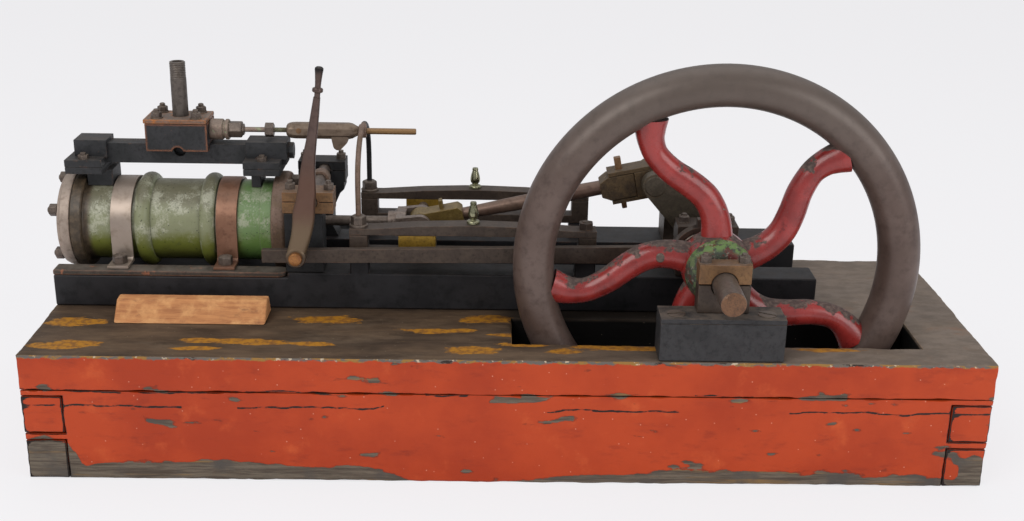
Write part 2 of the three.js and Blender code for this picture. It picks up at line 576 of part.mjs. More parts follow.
// ---- piston, crosshead and connecting rod --------------------------------------------------------
function addRunningGear() {
  const pistonX = -357;
  const rodTip = GUDGEON_X - 20;
  const socketLeft = GUDGEON_X - 31;
  const crotch = GUDGEON_X - 14;
  const pinRadius = 5;
  const piston = turned("x", [
    [PISTON_ROD_RADIUS + GAP, pistonX - 11], [CYLINDER.bore - RUN, pistonX - 11],
    [CYLINDER.bore - RUN, pistonX + 11], [PISTON_ROD_RADIUS + GAP, pistonX + 11],
    [PISTON_ROD_RADIUS + GAP, pistonX - 11],
  ], 32).translate([0, ENGINE_Y, SHAFT.z]);
  add("piston", piston, FINISH.iron);
  const pistonRod = rod("x", PISTON_ROD_RADIUS, pistonX - 12, rodTip, ENGINE_Y, SHAFT.z);
  add("piston_rod", pistonRod, FINISH.iron);

  // A socket for the piston rod, opening to a fork with an eye on each side of the small end.
  const cheek = (y0, y1) => plateY(
    arm(GUDGEON_X - 18, SHAFT.z, 9, GUDGEON_X, SHAFT.z, 11), y0, y1, 10);
  const fork = cut(
    join(
      rod("x", 10, socketLeft, crotch, ENGINE_Y, SHAFT.z),
      box(crotch - 9, crotch, ENGINE_Y - 19, ENGINE_Y + 19, SHAFT.z - 9, SHAFT.z + 9),
      cheek(ENGINE_Y - 19, ENGINE_Y - 12),
      cheek(ENGINE_Y + 12, ENGINE_Y + 19),
    ),
    box(crotch, GUDGEON_X + 12, ENGINE_Y - 12, ENGINE_Y + 12, SHAFT.z - 12, SHAFT.z + 12),
    rod("x", PISTON_ROD_RADIUS + GAP, socketLeft - 1, rodTip + GAP, ENGINE_Y, SHAFT.z),
    rod("y", pinRadius + GAP, ENGINE_Y - 30, ENGINE_Y + 30, GUDGEON_X, SHAFT.z, 20),
  );
  add("crosshead", fork, FINISH.iron);
  const pin = rod("y", pinRadius, NEAR_BAR_Y - 8, FAR_BAR_Y + 8, GUDGEON_X, SHAFT.z, 20);
  add("gudgeon_pin", pin, FINISH.iron);
  for (const [side, y] of [["near", NEAR_BAR_Y], ["far", FAR_BAR_Y]]) {
    const slipper = cut(
      box(GUDGEON_X - SLIPPER_HALF, GUDGEON_X + SLIPPER_HALF, y - 8.5, y + 8.5,
        BAR.lowerZ + GAP, BAR.upperZ - GAP),
      rod("y", pinRadius + GAP, y - 10, y + 10, GUDGEON_X, SHAFT.z, 20),
    );
    add(`${side}_crosshead_slipper`, slipper, FINISH.brass);
  }

  // The connecting rod is laid out along +X from the gudgeon, then tilted to the crank.
  const tilt = (piece) => piece
    .rotate([0, (-ROD_ANGLE * 180) / Math.PI, 0])
    .translate([GUDGEON_X, ENGINE_Y, SHAFT.z]);
  const shankStart = 42;
  const stubStart = ROD_LENGTH - 50;
  const stubEnd = ROD_LENGTH - 17;
  const shank = turned("x", [
    [0, shankStart - 2], [5.7, shankStart - 2], [6.2, 60], [7.3, 120], [7, stubStart + 1],
    [0, stubStart + 1],
  ], 24);
  const smallEnd = cut(
    join(
      rod("y", 11.5, -11, 11, 0, 0, 24),
      box(0, shankStart, -11, 11, -10, 10),
      box(21, 24.5, -5, 5, -16, 18),
    ),
    rod("y", pinRadius + RUN, -20, 20, 0, 0, 20),
  );
  const stub = join(
    plateY(outline([
      [stubStart, -7], [stubStart + 8, -11.5], [stubEnd, -11.5], [stubEnd, 11.5],
      [stubStart + 8, 11.5], [stubStart, 7],
    ]), -12, 12),
    box(ROD_LENGTH - 32, ROD_LENGTH - 29, -4, 4, -11, 11),
  );
  const cotterHole = box(ROD_LENGTH - 33, ROD_LENGTH - 26, -4, 4, -30, 30);
  add("connecting_rod", tilt(cut(join(smallEnd, shank, stub), cotterHole)), FINISH.iron);

  // A strap wraps the split brasses and is drawn up by a cotter through the stub end.
  const strapRadius = 17.5;
  const brassHalf = 11.8;
  const strap = cut(
    join(
      rod("y", strapRadius, -12, 12, ROD_LENGTH, 0, 24),
      box(ROD_LENGTH - 41, ROD_LENGTH, -12, 12, -15.5, 15.5),
    ),
    box(ROD_LENGTH - 42, ROD_LENGTH, -13, 13, -brassHalf - GAP, brassHalf + GAP),
    rod("y", brassHalf + GAP, -13, 13, ROD_LENGTH, 0, 24),
  );
  const journal = 8.5;
  const brasses = cut(
    join(
      rod("y", brassHalf, -14, 14, ROD_LENGTH, 0, 24),
      box(stubEnd + GAP, ROD_LENGTH, -14, 14, -brassHalf, brassHalf),
    ),
    rod("y", journal + GAP, -16, 16, ROD_LENGTH, 0, 24),
  );
  add("big_end_brasses", tilt(brasses), FINISH.brass);
  const cotter = plateY(outline([
    [ROD_LENGTH - 32.7, -24], [ROD_LENGTH - 28, -24], [ROD_LENGTH - 26.3, 27], [ROD_LENGTH - 32.7, 27],
  ]), -3.7, 3.7);
  add("big_end_strap", tilt(join(strap, cotter)), FINISH.iron);
  // The crank pin stays with the rod and stops just short of both webs.
  const pinHalf = CRANK.gap / 2 - GAP;
  add("crank_pin", tilt(rod("y", journal, -pinHalf, pinHalf, ROD_LENGTH, 0, 24)), FINISH.iron);
}

// ---- crankshaft, flywheel and eccentric -------------------------------------------------------------
function addCrankshaft() {
  const { x, z, radius, front, back } = SHAFT;
  const inner = CRANK.gap / 2;
  const outer = inner + CRANK.webThickness;
  const web = (y0, y1) => plateY(arm(x, z, 17, CRANK_PIN.x, CRANK_PIN.z, 12), y0, y1);
  const near = join(
    rod("y", radius, front, ENGINE_Y - outer + 1, x, z, 24),
    web(ENGINE_Y - outer, ENGINE_Y - inner),
    rod("y", 10, ENGINE_Y - outer - 1, ENGINE_Y - outer + 1, CRANK_PIN.x, CRANK_PIN.z, 24),
  );
  const far = join(
    rod("y", radius, ENGINE_Y + outer - 1, back, x, z, 24),
    web(ENGINE_Y + inner, ENGINE_Y + outer),
  );
  add("crankshaft_near_half", near, FINISH.iron);
  add("crankshaft_far_half", far, FINISH.iron);

  // The rim has a round outer face and a flatter inner one.
  const { y, rimRadius, rimRadial, rimAxial, hubRadius, spokes } = FLYWHEEL;
  const rimProfile = [];
  const rimSteps = 10;
  for (let step = 0; step <= rimSteps; step += 1) {
    const angle = (step / rimSteps) * 2 * Math.PI;
    const flat = Math.cos(angle) < 0 ? 0.8 : 1;
    const r = rimRadius + rimRadial * Math.sign(Math.cos(angle)) * Math.abs(Math.cos(angle)) ** flat;
    rimProfile.push([r, rimAxial * Math.sin(angle)]);
  }
  rimProfile[rimSteps] = rimProfile[0];
  const rim = turned("y", rimProfile, 56);
  const hub = turned("y", [
    [0, -29], [20, -29], [24, -27.5], [27.5, -24], [hubRadius, -18], [hubRadius + 1.5, -6], [hubRadius, 13],
    [24, 22], [18, 25], [0, 25],
  ], 24);
  // Each spoke leaves the hub nearly straight out and swings over to meet the rim.
  const section = new THREE.Shape()
    .absellipse(0, 0, SPOKE_SECTION.halfWidth, SPOKE_SECTION.halfDepth, 0, 2 * Math.PI, false, 0);
  const spoke = (angle) => {
    const path = new THREE.CatmullRomCurve3(SPOKE_LINE.map(([r, ahead]) => {
      const turn = degrees(angle + ahead);
      return new THREE.Vector3(r * Math.cos(turn), 0, r * Math.sin(turn));
    }));
    const options = { steps: 10, curveSegments: 5, bevelEnabled: false, extrudePath: path };
    return solid(new THREE.ExtrudeGeometry(section, options));
  };
  const pieces = [];
  for (let index = 0; index < spokes; index += 1) {
    pieces.push(spoke(FIRST_SPOKE + (index * 360) / spokes));
  }
  const wheel = cut(join(rim, hub, ...pieces), rod("y", radius + GAP, -40, 40, 0, 0, 32));
  add("flywheel", wheel.translate([x, y, z]), FINISH.red);

  const sheave = cut(
    rod("y", ECCENTRIC.radius, ECCENTRIC.y0, ECCENTRIC.y1, SHEAVE.x, SHEAVE.z, 32),
    rod("y", radius + GAP, ECCENTRIC.y0 - 1, ECCENTRIC.y1 + 1, x, z, 24),
  );
  add("eccentric_sheave", sheave, FINISH.iron);

  // The strap and its rod: a ring round the sheave with a flat bar that reaches past the lever's pin.
  const strapRadius = ECCENTRIC.radius + RUN + ECCENTRIC.strap;
  const y0 = 95.5;
  const y1 = 105.5;
  const tip = ROCKER.pinX - 33;
  const tipZ = ROCKER.pinZ - 4;
  const bar = outline([
    [SHEAVE.x - 18, SHEAVE.z - 14], [SHEAVE.x - 60, SHEAVE.z - 10],
    [ROCKER.pinX, tipZ - 6], [tip, tipZ - 6], [tip, tipZ + 6], [ROCKER.pinX, tipZ + 6],
    [SHEAVE.x - 60, SHEAVE.z + 6], [SHEAVE.x - 18, SHEAVE.z + 12],
  ]);
  const strap = cut(
    join(
      rod("y", strapRadius, y0, y1, SHEAVE.x, SHEAVE.z, 32),
      plateY(bar, y0 + 1.5, y1 - 1.5),
      ...[-1, 1].map((side) => box(SHEAVE.x - 5, SHEAVE.x + 5, y0 + 1, y1 - 1,
        SHEAVE.z + side * (strapRadius + 2) - 5, SHEAVE.z + side * (strapRadius + 2) + 5)),
    ),
    rod("y", ECCENTRIC.radius + RUN, y0 - 1, y1 + 1, SHEAVE.x, SHEAVE.z, 32),
  );
  add("eccentric_strap_and_rod", strap, FINISH.iron);
}

// ---- shaft bearings -----------------------------------------------------------------------------------
function addBearings() {
  const { x, z, radius } = SHAFT;
  const hole = (y) => rod("y", radius + RUN, y - 40, y + 40, x, z, 24);
  const split = 0.6;
  const bolts = (half, y, top) => [-1, 1].map((side) =>
    nut("z", 11, 6.5, top - 0.5, x + side * half, y, 1, 2.5));
  const housing = (half, y0, y1, bottom) =>
    cut(box(x - half, x + half, y0, y1, bottom + GAP, z - split), hole(y0));
  const cap = (half, y0, y1, top, boltHalf) => cut(
    join(box(x - half, x + half, y0, y1, z + split, top), ...bolts(boltHalf, (y0 + y1) / 2, top)),
    hole(y0),
  );

  const blockTop = 39;
  const block = join(
    box(x - 54.5, x + 53, 1.5, 33, GAP, blockTop),
    ...[-40, 38].map((dx) => rod("z", 8, blockTop - 1, blockTop + 0.8, x + dx, 14, 16)),
  );
  add("front_bearing_block", block, FINISH.black);
  add("front_bearing_housing", housing(22.5, 15, 31, blockTop), FINISH.iron);
  add("front_bearing_cap", cap(22.5, 15, 31, 83, 16.5), FINISH.brass);

  const nearY0 = 115;
  const nearY1 = 143;
  add("near_main_bearing_housing", housing(28, nearY0, nearY1, BED.height), FINISH.iron);
  add("near_main_bearing_cap", cap(28, nearY0, nearY1, 84, 21), FINISH.brass);
  const farY0 = 2 * ENGINE_Y - nearY1;
  const farY1 = 250;
  const farCap = cap(28, farY0, farY1, 78, 21);
  const joint = [-1, 1].map((side) => box(x + side * 20 - 7, x + side * 20 + 7, farY0, farY1, z - 2, z + 2));
  add("far_main_bearing", join(housing(28, farY0, farY1, BED.height), farCap, ...joint), FINISH.iron);
}

addBase();
addBed();
addCylinder();
addSteamSide();
addValve();
addRocker();
addSlideBars();
addRunningGear();
addCrankshaft();
addBearings();

export default engine;
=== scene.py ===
"""The look of a model steam engine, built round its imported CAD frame.

Shapes are drawn in layout millimetres: X from the middle of the base, Y from its front face
and Z from the top of its plank. That corner is read from the frame.
"""

import json
import math
import random

import bmesh
import bpy
import numpy as np
from mathutils import Matrix, Vector, noise
from mathutils.bvhtree import BVHTree


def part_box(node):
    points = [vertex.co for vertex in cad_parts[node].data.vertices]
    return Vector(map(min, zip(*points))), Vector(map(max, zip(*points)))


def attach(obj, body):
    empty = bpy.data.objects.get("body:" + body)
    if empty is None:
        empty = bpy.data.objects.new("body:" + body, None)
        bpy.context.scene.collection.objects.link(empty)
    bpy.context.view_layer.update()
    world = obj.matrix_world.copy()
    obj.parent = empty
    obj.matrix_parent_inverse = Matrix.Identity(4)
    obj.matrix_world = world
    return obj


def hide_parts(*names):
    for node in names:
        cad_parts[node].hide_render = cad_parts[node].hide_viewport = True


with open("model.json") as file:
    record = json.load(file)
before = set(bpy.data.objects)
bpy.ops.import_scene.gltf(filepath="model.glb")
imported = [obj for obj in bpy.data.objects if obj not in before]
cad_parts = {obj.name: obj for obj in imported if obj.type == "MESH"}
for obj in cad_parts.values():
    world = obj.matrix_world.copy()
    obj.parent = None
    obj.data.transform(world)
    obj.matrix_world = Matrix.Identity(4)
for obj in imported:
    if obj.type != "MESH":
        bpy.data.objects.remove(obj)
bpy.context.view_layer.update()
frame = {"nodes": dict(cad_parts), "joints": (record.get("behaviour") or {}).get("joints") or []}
random.seed(7)

MM = 0.001
plank_low, plank_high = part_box("base_top_plank")
CORNER = Vector(((plank_low.x + plank_high.x) / 2, plank_low.y, plank_high.z))


def span(node):
    """A CAD node's lowest and highest corner in layout millimetres."""
    low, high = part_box(node)
    return (low - CORNER) / MM, (high - CORNER) / MM


def middle(node):
    low, high = span(node)
    return (low + high) / 2


def joint_axis(name):
    """Where a hinge's axis passes, in layout millimetres."""
    found = next(joint for joint in frame["joints"] if joint["name"] == name)
    return (Vector(found["pos_m"]) - CORNER) / MM


# ---- shapes -------------------------------------------------------------------------------
class Shape:
    """Points in layout millimetres, faces, and a material number for each face."""

    def __init__(self, points, faces, skin=0):
        self.points = np.asarray(points, float).reshape(-1, 3)
        self.faces = [tuple(face) for face in faces]
        self.skins = [skin] * len(self.faces)

    def __add__(self, other):
        made = Shape(np.vstack([self.points, other.points]), [])
        shift = len(self.points)
        made.faces = self.faces + [tuple(i + shift for i in face) for face in other.faces]
        made.skins = self.skins + other.skins
        return made

    def moved(self, x=0.0, y=0.0, z=0.0):
        made = Shape(self.points + (x, y, z), self.faces)
        made.skins = list(self.skins)
        return made

    def tilted(self, degrees, centre=(0, 0, 0), axis="Y"):
        turn = np.array(Matrix.Rotation(math.radians(degrees), 3, axis))
        made = Shape((self.points - centre) @ turn.T + centre, self.faces)
        made.skins = list(self.skins)
        return made

    def skinned(self, skin):
        return Shape(self.points, self.faces, skin)

    def softened(self, width, segments=2, sharp=32):
        """Its sharp edges rounded over."""
        bm = bmesh.new()
        points = [bm.verts.new(p) for p in self.points]
        for face in self.faces:
            bm.faces.new([points[i] for i in face])
        bmesh.ops.recalc_face_normals(bm, faces=bm.faces)
        limit = math.radians(sharp)
        edges = [e for e in bm.edges if len(e.link_faces) == 2 and e.calc_face_angle() > limit]
        bmesh.ops.bevel(bm, geom=edges, offset=width, segments=segments, profile=0.5,
                        affect="EDGES", clamp_overlap=True)
        bm.verts.index_update()
        made = Shape([v.co for v in bm.verts], [[v.index for v in f.verts] for f in bm.faces],
                     self.skins[0])
        bm.free()
        return made


def total(shapes):
    shapes = list(shapes)
    made = shapes[0]
    for shape in shapes[1:]:
        made = made + shape
    return made


def axes_to_xyz(axis, a, b, along):
    if axis == "x":
        return (along, a, b)
    return (a, along, b) if axis == "y" else (a, b, along)


def lathe(axis, profile, centre=(0, 0, 0), sides=64, ring=False, phase=0.0):
    """A turned body from (radius, distance along the axis) pairs. A ring's profile is closed."""
    points, rows = [], []
    for radius, along in profile:
        count = sides if radius > 1e-6 else 1
        rows.append([len(points) + i for i in range(count)])
        for i in range(count):
            turn = phase + 2 * math.pi * i / sides
            point = axes_to_xyz(axis, radius * math.cos(turn), radius * math.sin(turn), along)
            points.append([p + c for p, c in zip(point, centre)])
    following = rows[1:] + rows[:1] if ring else rows[1:]
    faces = []
    for low, high in zip(rows, following):
        for i in range(sides):
            j = (i + 1) % sides
            face = dict.fromkeys(
                (low[i % len(low)], low[j % len(low)], high[j % len(high)], high[i % len(high)]))
            if len(face) > 2:
                faces.append(tuple(face))
    return Shape(points, faces)


def rod(axis, radius, start, end, centre=(0, 0, 0), sides=64):
    """A plain round bar along an axis."""
    return lathe(axis, [(0, start), (radius, start), (radius, end), (0, end)], centre, sides)


def eased_rod(axis, radius, start, end, ease, centre, sides=48):
    """A round bar with both ends chamfered. ease is (across, along)."""
    across, along = ease
    return lathe(axis, [(0, start), (radius - across, start), (radius, start + along),
                        (radius, end - along), (radius - across, end), (0, end)], centre, sides)


def skin_by_face(shape, test, inside=1, outside=0):
    """Gives each face one of two materials, by a test on its middle."""
    shape.skins = [
        inside if test(np.mean(shape.points[list(face)], axis=0)) else outside for face in shape.faces]


def plate(axis, outline, low, high):
    """A flat shape from low to high along an axis, its outline in the other two, in order."""
    count = len(outline)
    points = [axes_to_xyz(axis, a, b, at) for at in (low, high) for a, b in outline]
    faces = [tuple(range(count)), tuple(range(2 * count - 1, count - 1, -1))]
    for i in range(count):
        j = (i + 1) % count
        faces.append((i, j, count + j, count + i))
    return Shape(points, faces)


def block(x0, x1, y0, y1, z0, z1):
    return plate("z", [(x0, y0), (x1, y0), (x1, y1), (x0, y1)], z0, z1)


def arc(a, b, radius, start, end, steps=16):
    """Points round a centre, angles in degrees."""
    turns = [math.radians(start + (end - start) * i / steps) for i in range(steps + 1)]
    return [(a + radius * math.cos(t), b + radius * math.sin(t)) for t in turns]


def arm(ax, ay, a_radius, bx, by, b_radius):
    """The outline of two circles and their outer tangents."""
    along = math.degrees(math.atan2(by - ay, bx - ax))
    opening = math.degrees(math.acos((a_radius - b_radius) / math.hypot(bx - ax, by - ay)))
    return (arc(ax, ay, a_radius, along + opening, along - opening + 360, 24)
            + arc(bx, by, b_radius, along - opening, along + opening, 16))


def smooth_path(points, steps=8):
    """A Catmull-Rom curve through points."""
    known = [Vector(p) for p in points]
    known = [2 * known[0] - known[1]] + known + [2 * known[-1] - known[-2]]
    path = []
    for i in range(1, len(known) - 2):
        p0, p1, p2, p3 = known[i - 1:i + 3]
        for step in range(steps):
            t = step / steps
            path.append(0.5 * (2 * p1 + (p2 - p0) * t + (2 * p0 - 5 * p1 + 4 * p2 - p3) * t**2
                               + (3 * p1 - p0 - 3 * p2 + p3) * t**3))
    return path + [known[-2]]


def tube_faces(rows, sides):
    """The two ends and the walls of rows of points, each row a closed ring."""
    count = rows * sides
    faces = [tuple(range(sides)), tuple(range(count - sides, count))[::-1]]
    for start in range(0, count - sides, sides):
        for k in range(sides):
            j = (k + 1) % sides
            faces.append((start + k, start + j, start + sides + j, start + sides + k))
    return faces


def bar(path, sizes, up, sides=20, power=1.0):
    """An oval bar along a path. Each size is (half width across up, half depth along up).
    A power under 1 squares the section."""
    path = [Vector(p) for p in path]
    up = Vector(up)
    points = []
    for i, p in enumerate(path):
        ahead = (path[min(i + 1, len(path) - 1)] - path[max(i - 1, 0)]).normalized()
        side = ahead.cross(up).normalized()
        width, depth = sizes[i] if isinstance(sizes, list) else sizes
        for k in range(sides):
            turn = 2 * math.pi * k / sides
            c, s = math.cos(turn), math.sin(turn)
            c = math.copysign(abs(c) ** power, c)
            s = math.copysign(abs(s) ** power, s)
            points.append(p + side * width * c + up * depth * s)
    return Shape(points, tube_faces(len(path), sides))


def loft(rings):
    """A skin over rings of equally many points."""
    return Shape([p for ring in rings for p in ring], tube_faces(len(rings), len(rings[0])))


def nut(axis, across, height, base, a, b, direction=1, stud=2.0, washer=0.0):
    """A chamfered hexagon nut and a domed stud end, standing on `base` along the axis."""
    r = across / 2
    ease = r * 0.2
    sign = direction
    top = height
    centre = axes_to_xyz(axis, a, b, base)
    phase = random.uniform(0, math.pi / 3)
    hexagon = lathe(axis, [(0, 0), (r, 0), (r, sign * (top - ease * 0.6)),
                           (r - ease, sign * top), (0, sign * top)], centre, 6, phase=phase)
    stem = r * 0.52
    tip = top + stud
    end = lathe(axis, [(0, 0), (stem, 0), (stem, sign * (tip - stem * 0.4)),
                       (stem * 0.7, sign * (tip - stem * 0.12)), (0, sign * tip)], centre, 16)
    made = hexagon.softened(ease * 0.35, 1) + end
    if washer:
        made = made + rod(axis, washer, 0, sign * 1.0, centre, 24)
    return made


def cut(shape, *tools):
    """A shape less others."""
    def loose(part):
        mesh = bpy.data.meshes.new("loose")
        mesh.from_pydata([tuple(p) for p in part.points], [], part.faces)
        bm = bmesh.new()
        bm.from_mesh(mesh)
        bmesh.ops.recalc_face_normals(bm, faces=bm.faces)
        bm.to_mesh(mesh)
        bm.free()
        made = bpy.data.objects.new("loose", mesh)
        bpy.context.scene.collection.objects.link(made)
        return made

    body = loose(shape)
    cutters = [loose(tool) for tool in tools]
    for cutter in cutters:
        modifier = body.modifiers.new("cut", "BOOLEAN")
        modifier.operation = "DIFFERENCE"
        modifier.solver = "EXACT"
        modifier.object = cutter
    graph = bpy.context.evaluated_depsgraph_get()
    mesh = bpy.data.meshes.new_from_object(body.evaluated_get(graph))
    made = Shape([v.co[:] for v in mesh.vertices], [tuple(p.vertices) for p in mesh.polygons],
                 shape.skins[0])
    for loose_part in [body, *cutters]:
        bpy.data.objects.remove(loose_part)
    return made


def gridded(node, steps):
    """A square-cut CAD node again as a fine grid. Returns the shape and each point's outward direction."""
    source = frame["nodes"][node].data
    corners = np.array([(v.co - CORNER) / MM for v in source.vertices])
    tree = BVHTree.FromPolygons([tuple(c) for c in corners], [tuple(p.vertices) for p in source.polygons])
    planes = []
    for axis in range(3):
        values = np.unique(corners[:, axis].round(2))
        keep = [values[0]] + [b for a, b in zip(values, values[1:]) if b - a > 0.05]
        planes.append(np.array(keep))
    skew = Vector((0.4337, 0.2911, 0.8526)).normalized()

    def inside(point):
        hits, place = 0, Vector(point)
        while True:
            hit = tree.ray_cast(place, skew)
            if hit[0] is None:
                return hits % 2 == 1
            hits += 1
            place = hit[0] + skew * 1e-4

    centres = [(p[1:] + p[:-1]) / 2 for p in planes]
    coarse = np.zeros([len(c) for c in centres], bool)
    for i, x in enumerate(centres[0]):
        for j, y in enumerate(centres[1]):
            for k, z in enumerate(centres[2]):
                coarse[i, j, k] = inside((x, y, z))
    lines, owners = [], []
    for axis in range(3):
        values, owner = [planes[axis][0]], []
        for cell, (a, b) in enumerate(zip(planes[axis], planes[axis][1:])):
            count = max(1, round((b - a) / steps[axis]))
            values += [a + (b - a) * (n + 1) / count for n in range(count)]
            owner += [cell] * count
        lines.append(np.array(values))
        owners.append(np.array(owner))
    solid = coarse[np.ix_(*owners)]
    padded = np.pad(solid, 1).astype(np.int8)
    shape = [len(line) for line in lines]
    quads, ways = [], []
    for axis in range(3):
        change = np.diff(padded, axis=axis)
        trim = [slice(1, -1)] * 3
        trim[axis] = slice(None)
        change = change[tuple(trim)]
        where = np.argwhere(change != 0)
        signs = -change[tuple(where.T)]
        others = [n for n in range(3) if n != axis]
        loop = []
        for da, db in ((0, 0), (1, 0), (1, 1), (0, 1)):
            at = where.copy()
            at[:, others[0]] += da
            at[:, others[1]] += db
            loop.append((at[:, 0] * shape[1] + at[:, 1]) * shape[2] + at[:, 2])
        quads.append(np.stack(loop, 1))
        way = np.zeros((len(where), 3))
        way[:, axis] = signs
        ways.append(way)
    quads, ways = np.vstack(quads), np.vstack(ways)
    used, compact = np.unique(quads, return_inverse=True)
    compact = compact.reshape(quads.shape)
    index = np.stack([used // (shape[1] * shape[2]), used // shape[2] % shape[1], used % shape[2]], 1)
    points = np.stack([lines[n][index[:, n]] for n in range(3)], 1)
    outward = np.zeros((len(used), 3))
    for column in range(4):
        np.add.at(outward, compact[:, column], ways)
    outward = np.sign(outward)
    return Shape(points, compact.tolist()), outward


def cloud(points, size, seed=0.0):
    """Noise from -1 to 1 at each point, its features about `size` millimetres."""
    shift = Vector((seed, seed * 1.7, seed * 0.6))
    size = Vector(size) if hasattr(size, "__len__") else Vector((size,) * 3)
    return np.array([
        noise.noise(Vector((p[0] / size.x, p[1] / size.y, p[2] / size.z)) + shift) for p in points])


def distance_to(points, line):
    """Distance to a line of joined segments, for 2-D points."""
    nearest = np.full(len(points), 1e9)
    for start, end in zip(line, line[1:]):
        s, e = np.array(start, float), np.array(end, float)
        way = e - s
        t = np.clip((points - s) @ way / max(way @ way, 1e-9), 0, 1)
        nearest = np.minimum(nearest, np.linalg.norm(points - s - t[:, None] * way, axis=1))
    return nearest


SHARP_ANGLE = math.radians(38)
BEVEL_ANGLE = math.radians(32)
FLAT_ANGLE = math.radians(1.5)
WELD_REACH = 0.01 * MM


def piece(name, shape, skins, body, stands_for, fields=None):
    """Puts a shape in the scene on a CAD body, standing for CAD nodes."""
    mesh = bpy.data.meshes.new(name)
    mesh.from_pydata([tuple(CORNER + Vector(p) * MM) for p in shape.points], [], shape.faces)
    mesh.polygons.foreach_set("material_index", shape.skins)
    bm = bmesh.new()
    bm.from_mesh(mesh)
    bmesh.ops.recalc_face_normals(bm, faces=bm.faces)
    bm.to_mesh(mesh)
    bm.free()
    for field, values in (fields or {}).items():
        mesh.attributes.new(field, "FLOAT", "POINT").data.foreach_set("value", np.asarray(values, np.float32))
    for skin in skins if isinstance(skins, (list, tuple)) else [skins]:
        mesh.materials.append(skin)
    mesh.shade_smooth()
    mesh.set_sharp_from_angle(angle=SHARP_ANGLE)
    made = bpy.data.objects.new(name, mesh)
    bpy.context.scene.collection.objects.link(made)
    steady = made.modifiers.new("even normals", "WEIGHTED_NORMAL")
    steady.keep_sharp = True
    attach(made, body)
    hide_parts(*stands_for)


def dress(node, skins, bevel=0.5, picks=()):
    """Gives a CAD node its materials and softens its edges. picks are (test, material number)
    pairs; the test takes a face's middle in layout millimetres."""
    made = frame["nodes"][node]
    mesh = made.data
    if "custom_normal" in mesh.attributes:
        mesh.attributes.remove(mesh.attributes["custom_normal"])
    mesh.materials.clear()
    for skin in skins if isinstance(skins, (list, tuple)) else [skins]:
        mesh.materials.append(skin)
    for face in mesh.polygons:
        face.use_smooth = True
        face.material_index = 0
        at = (face.center - CORNER) / MM
        for test, number in picks:
            if test(at):
                face.material_index = number
    weld = made.modifiers.new("weld", "WELD")
    weld.merge_threshold = WELD_REACH
    flat = made.modifiers.new("flat", "DECIMATE")
    flat.decimate_type = "DISSOLVE"
    flat.angle_limit = FLAT_ANGLE
    flat.delimit = {"MATERIAL"}
    if bevel:
        round_over = made.modifiers.new("round over", "BEVEL")
        round_over.width = bevel * MM
        round_over.segments = 2
        round_over.limit_method = "ANGLE"
        round_over.angle_limit = BEVEL_ANGLE
        round_over.harden_normals = True


# ---- materials ----------------------------------------------------------------------------
def rgb(code):
    """A linear colour from a hex code."""
    parts = [int(code[i:i + 2], 16) / 255 for i in (0, 2, 4)]
    return [c / 12.92 if c <= 0.04045 else ((c + 0.055) / 1.055) ** 2.4 for c in parts] + [1.0]


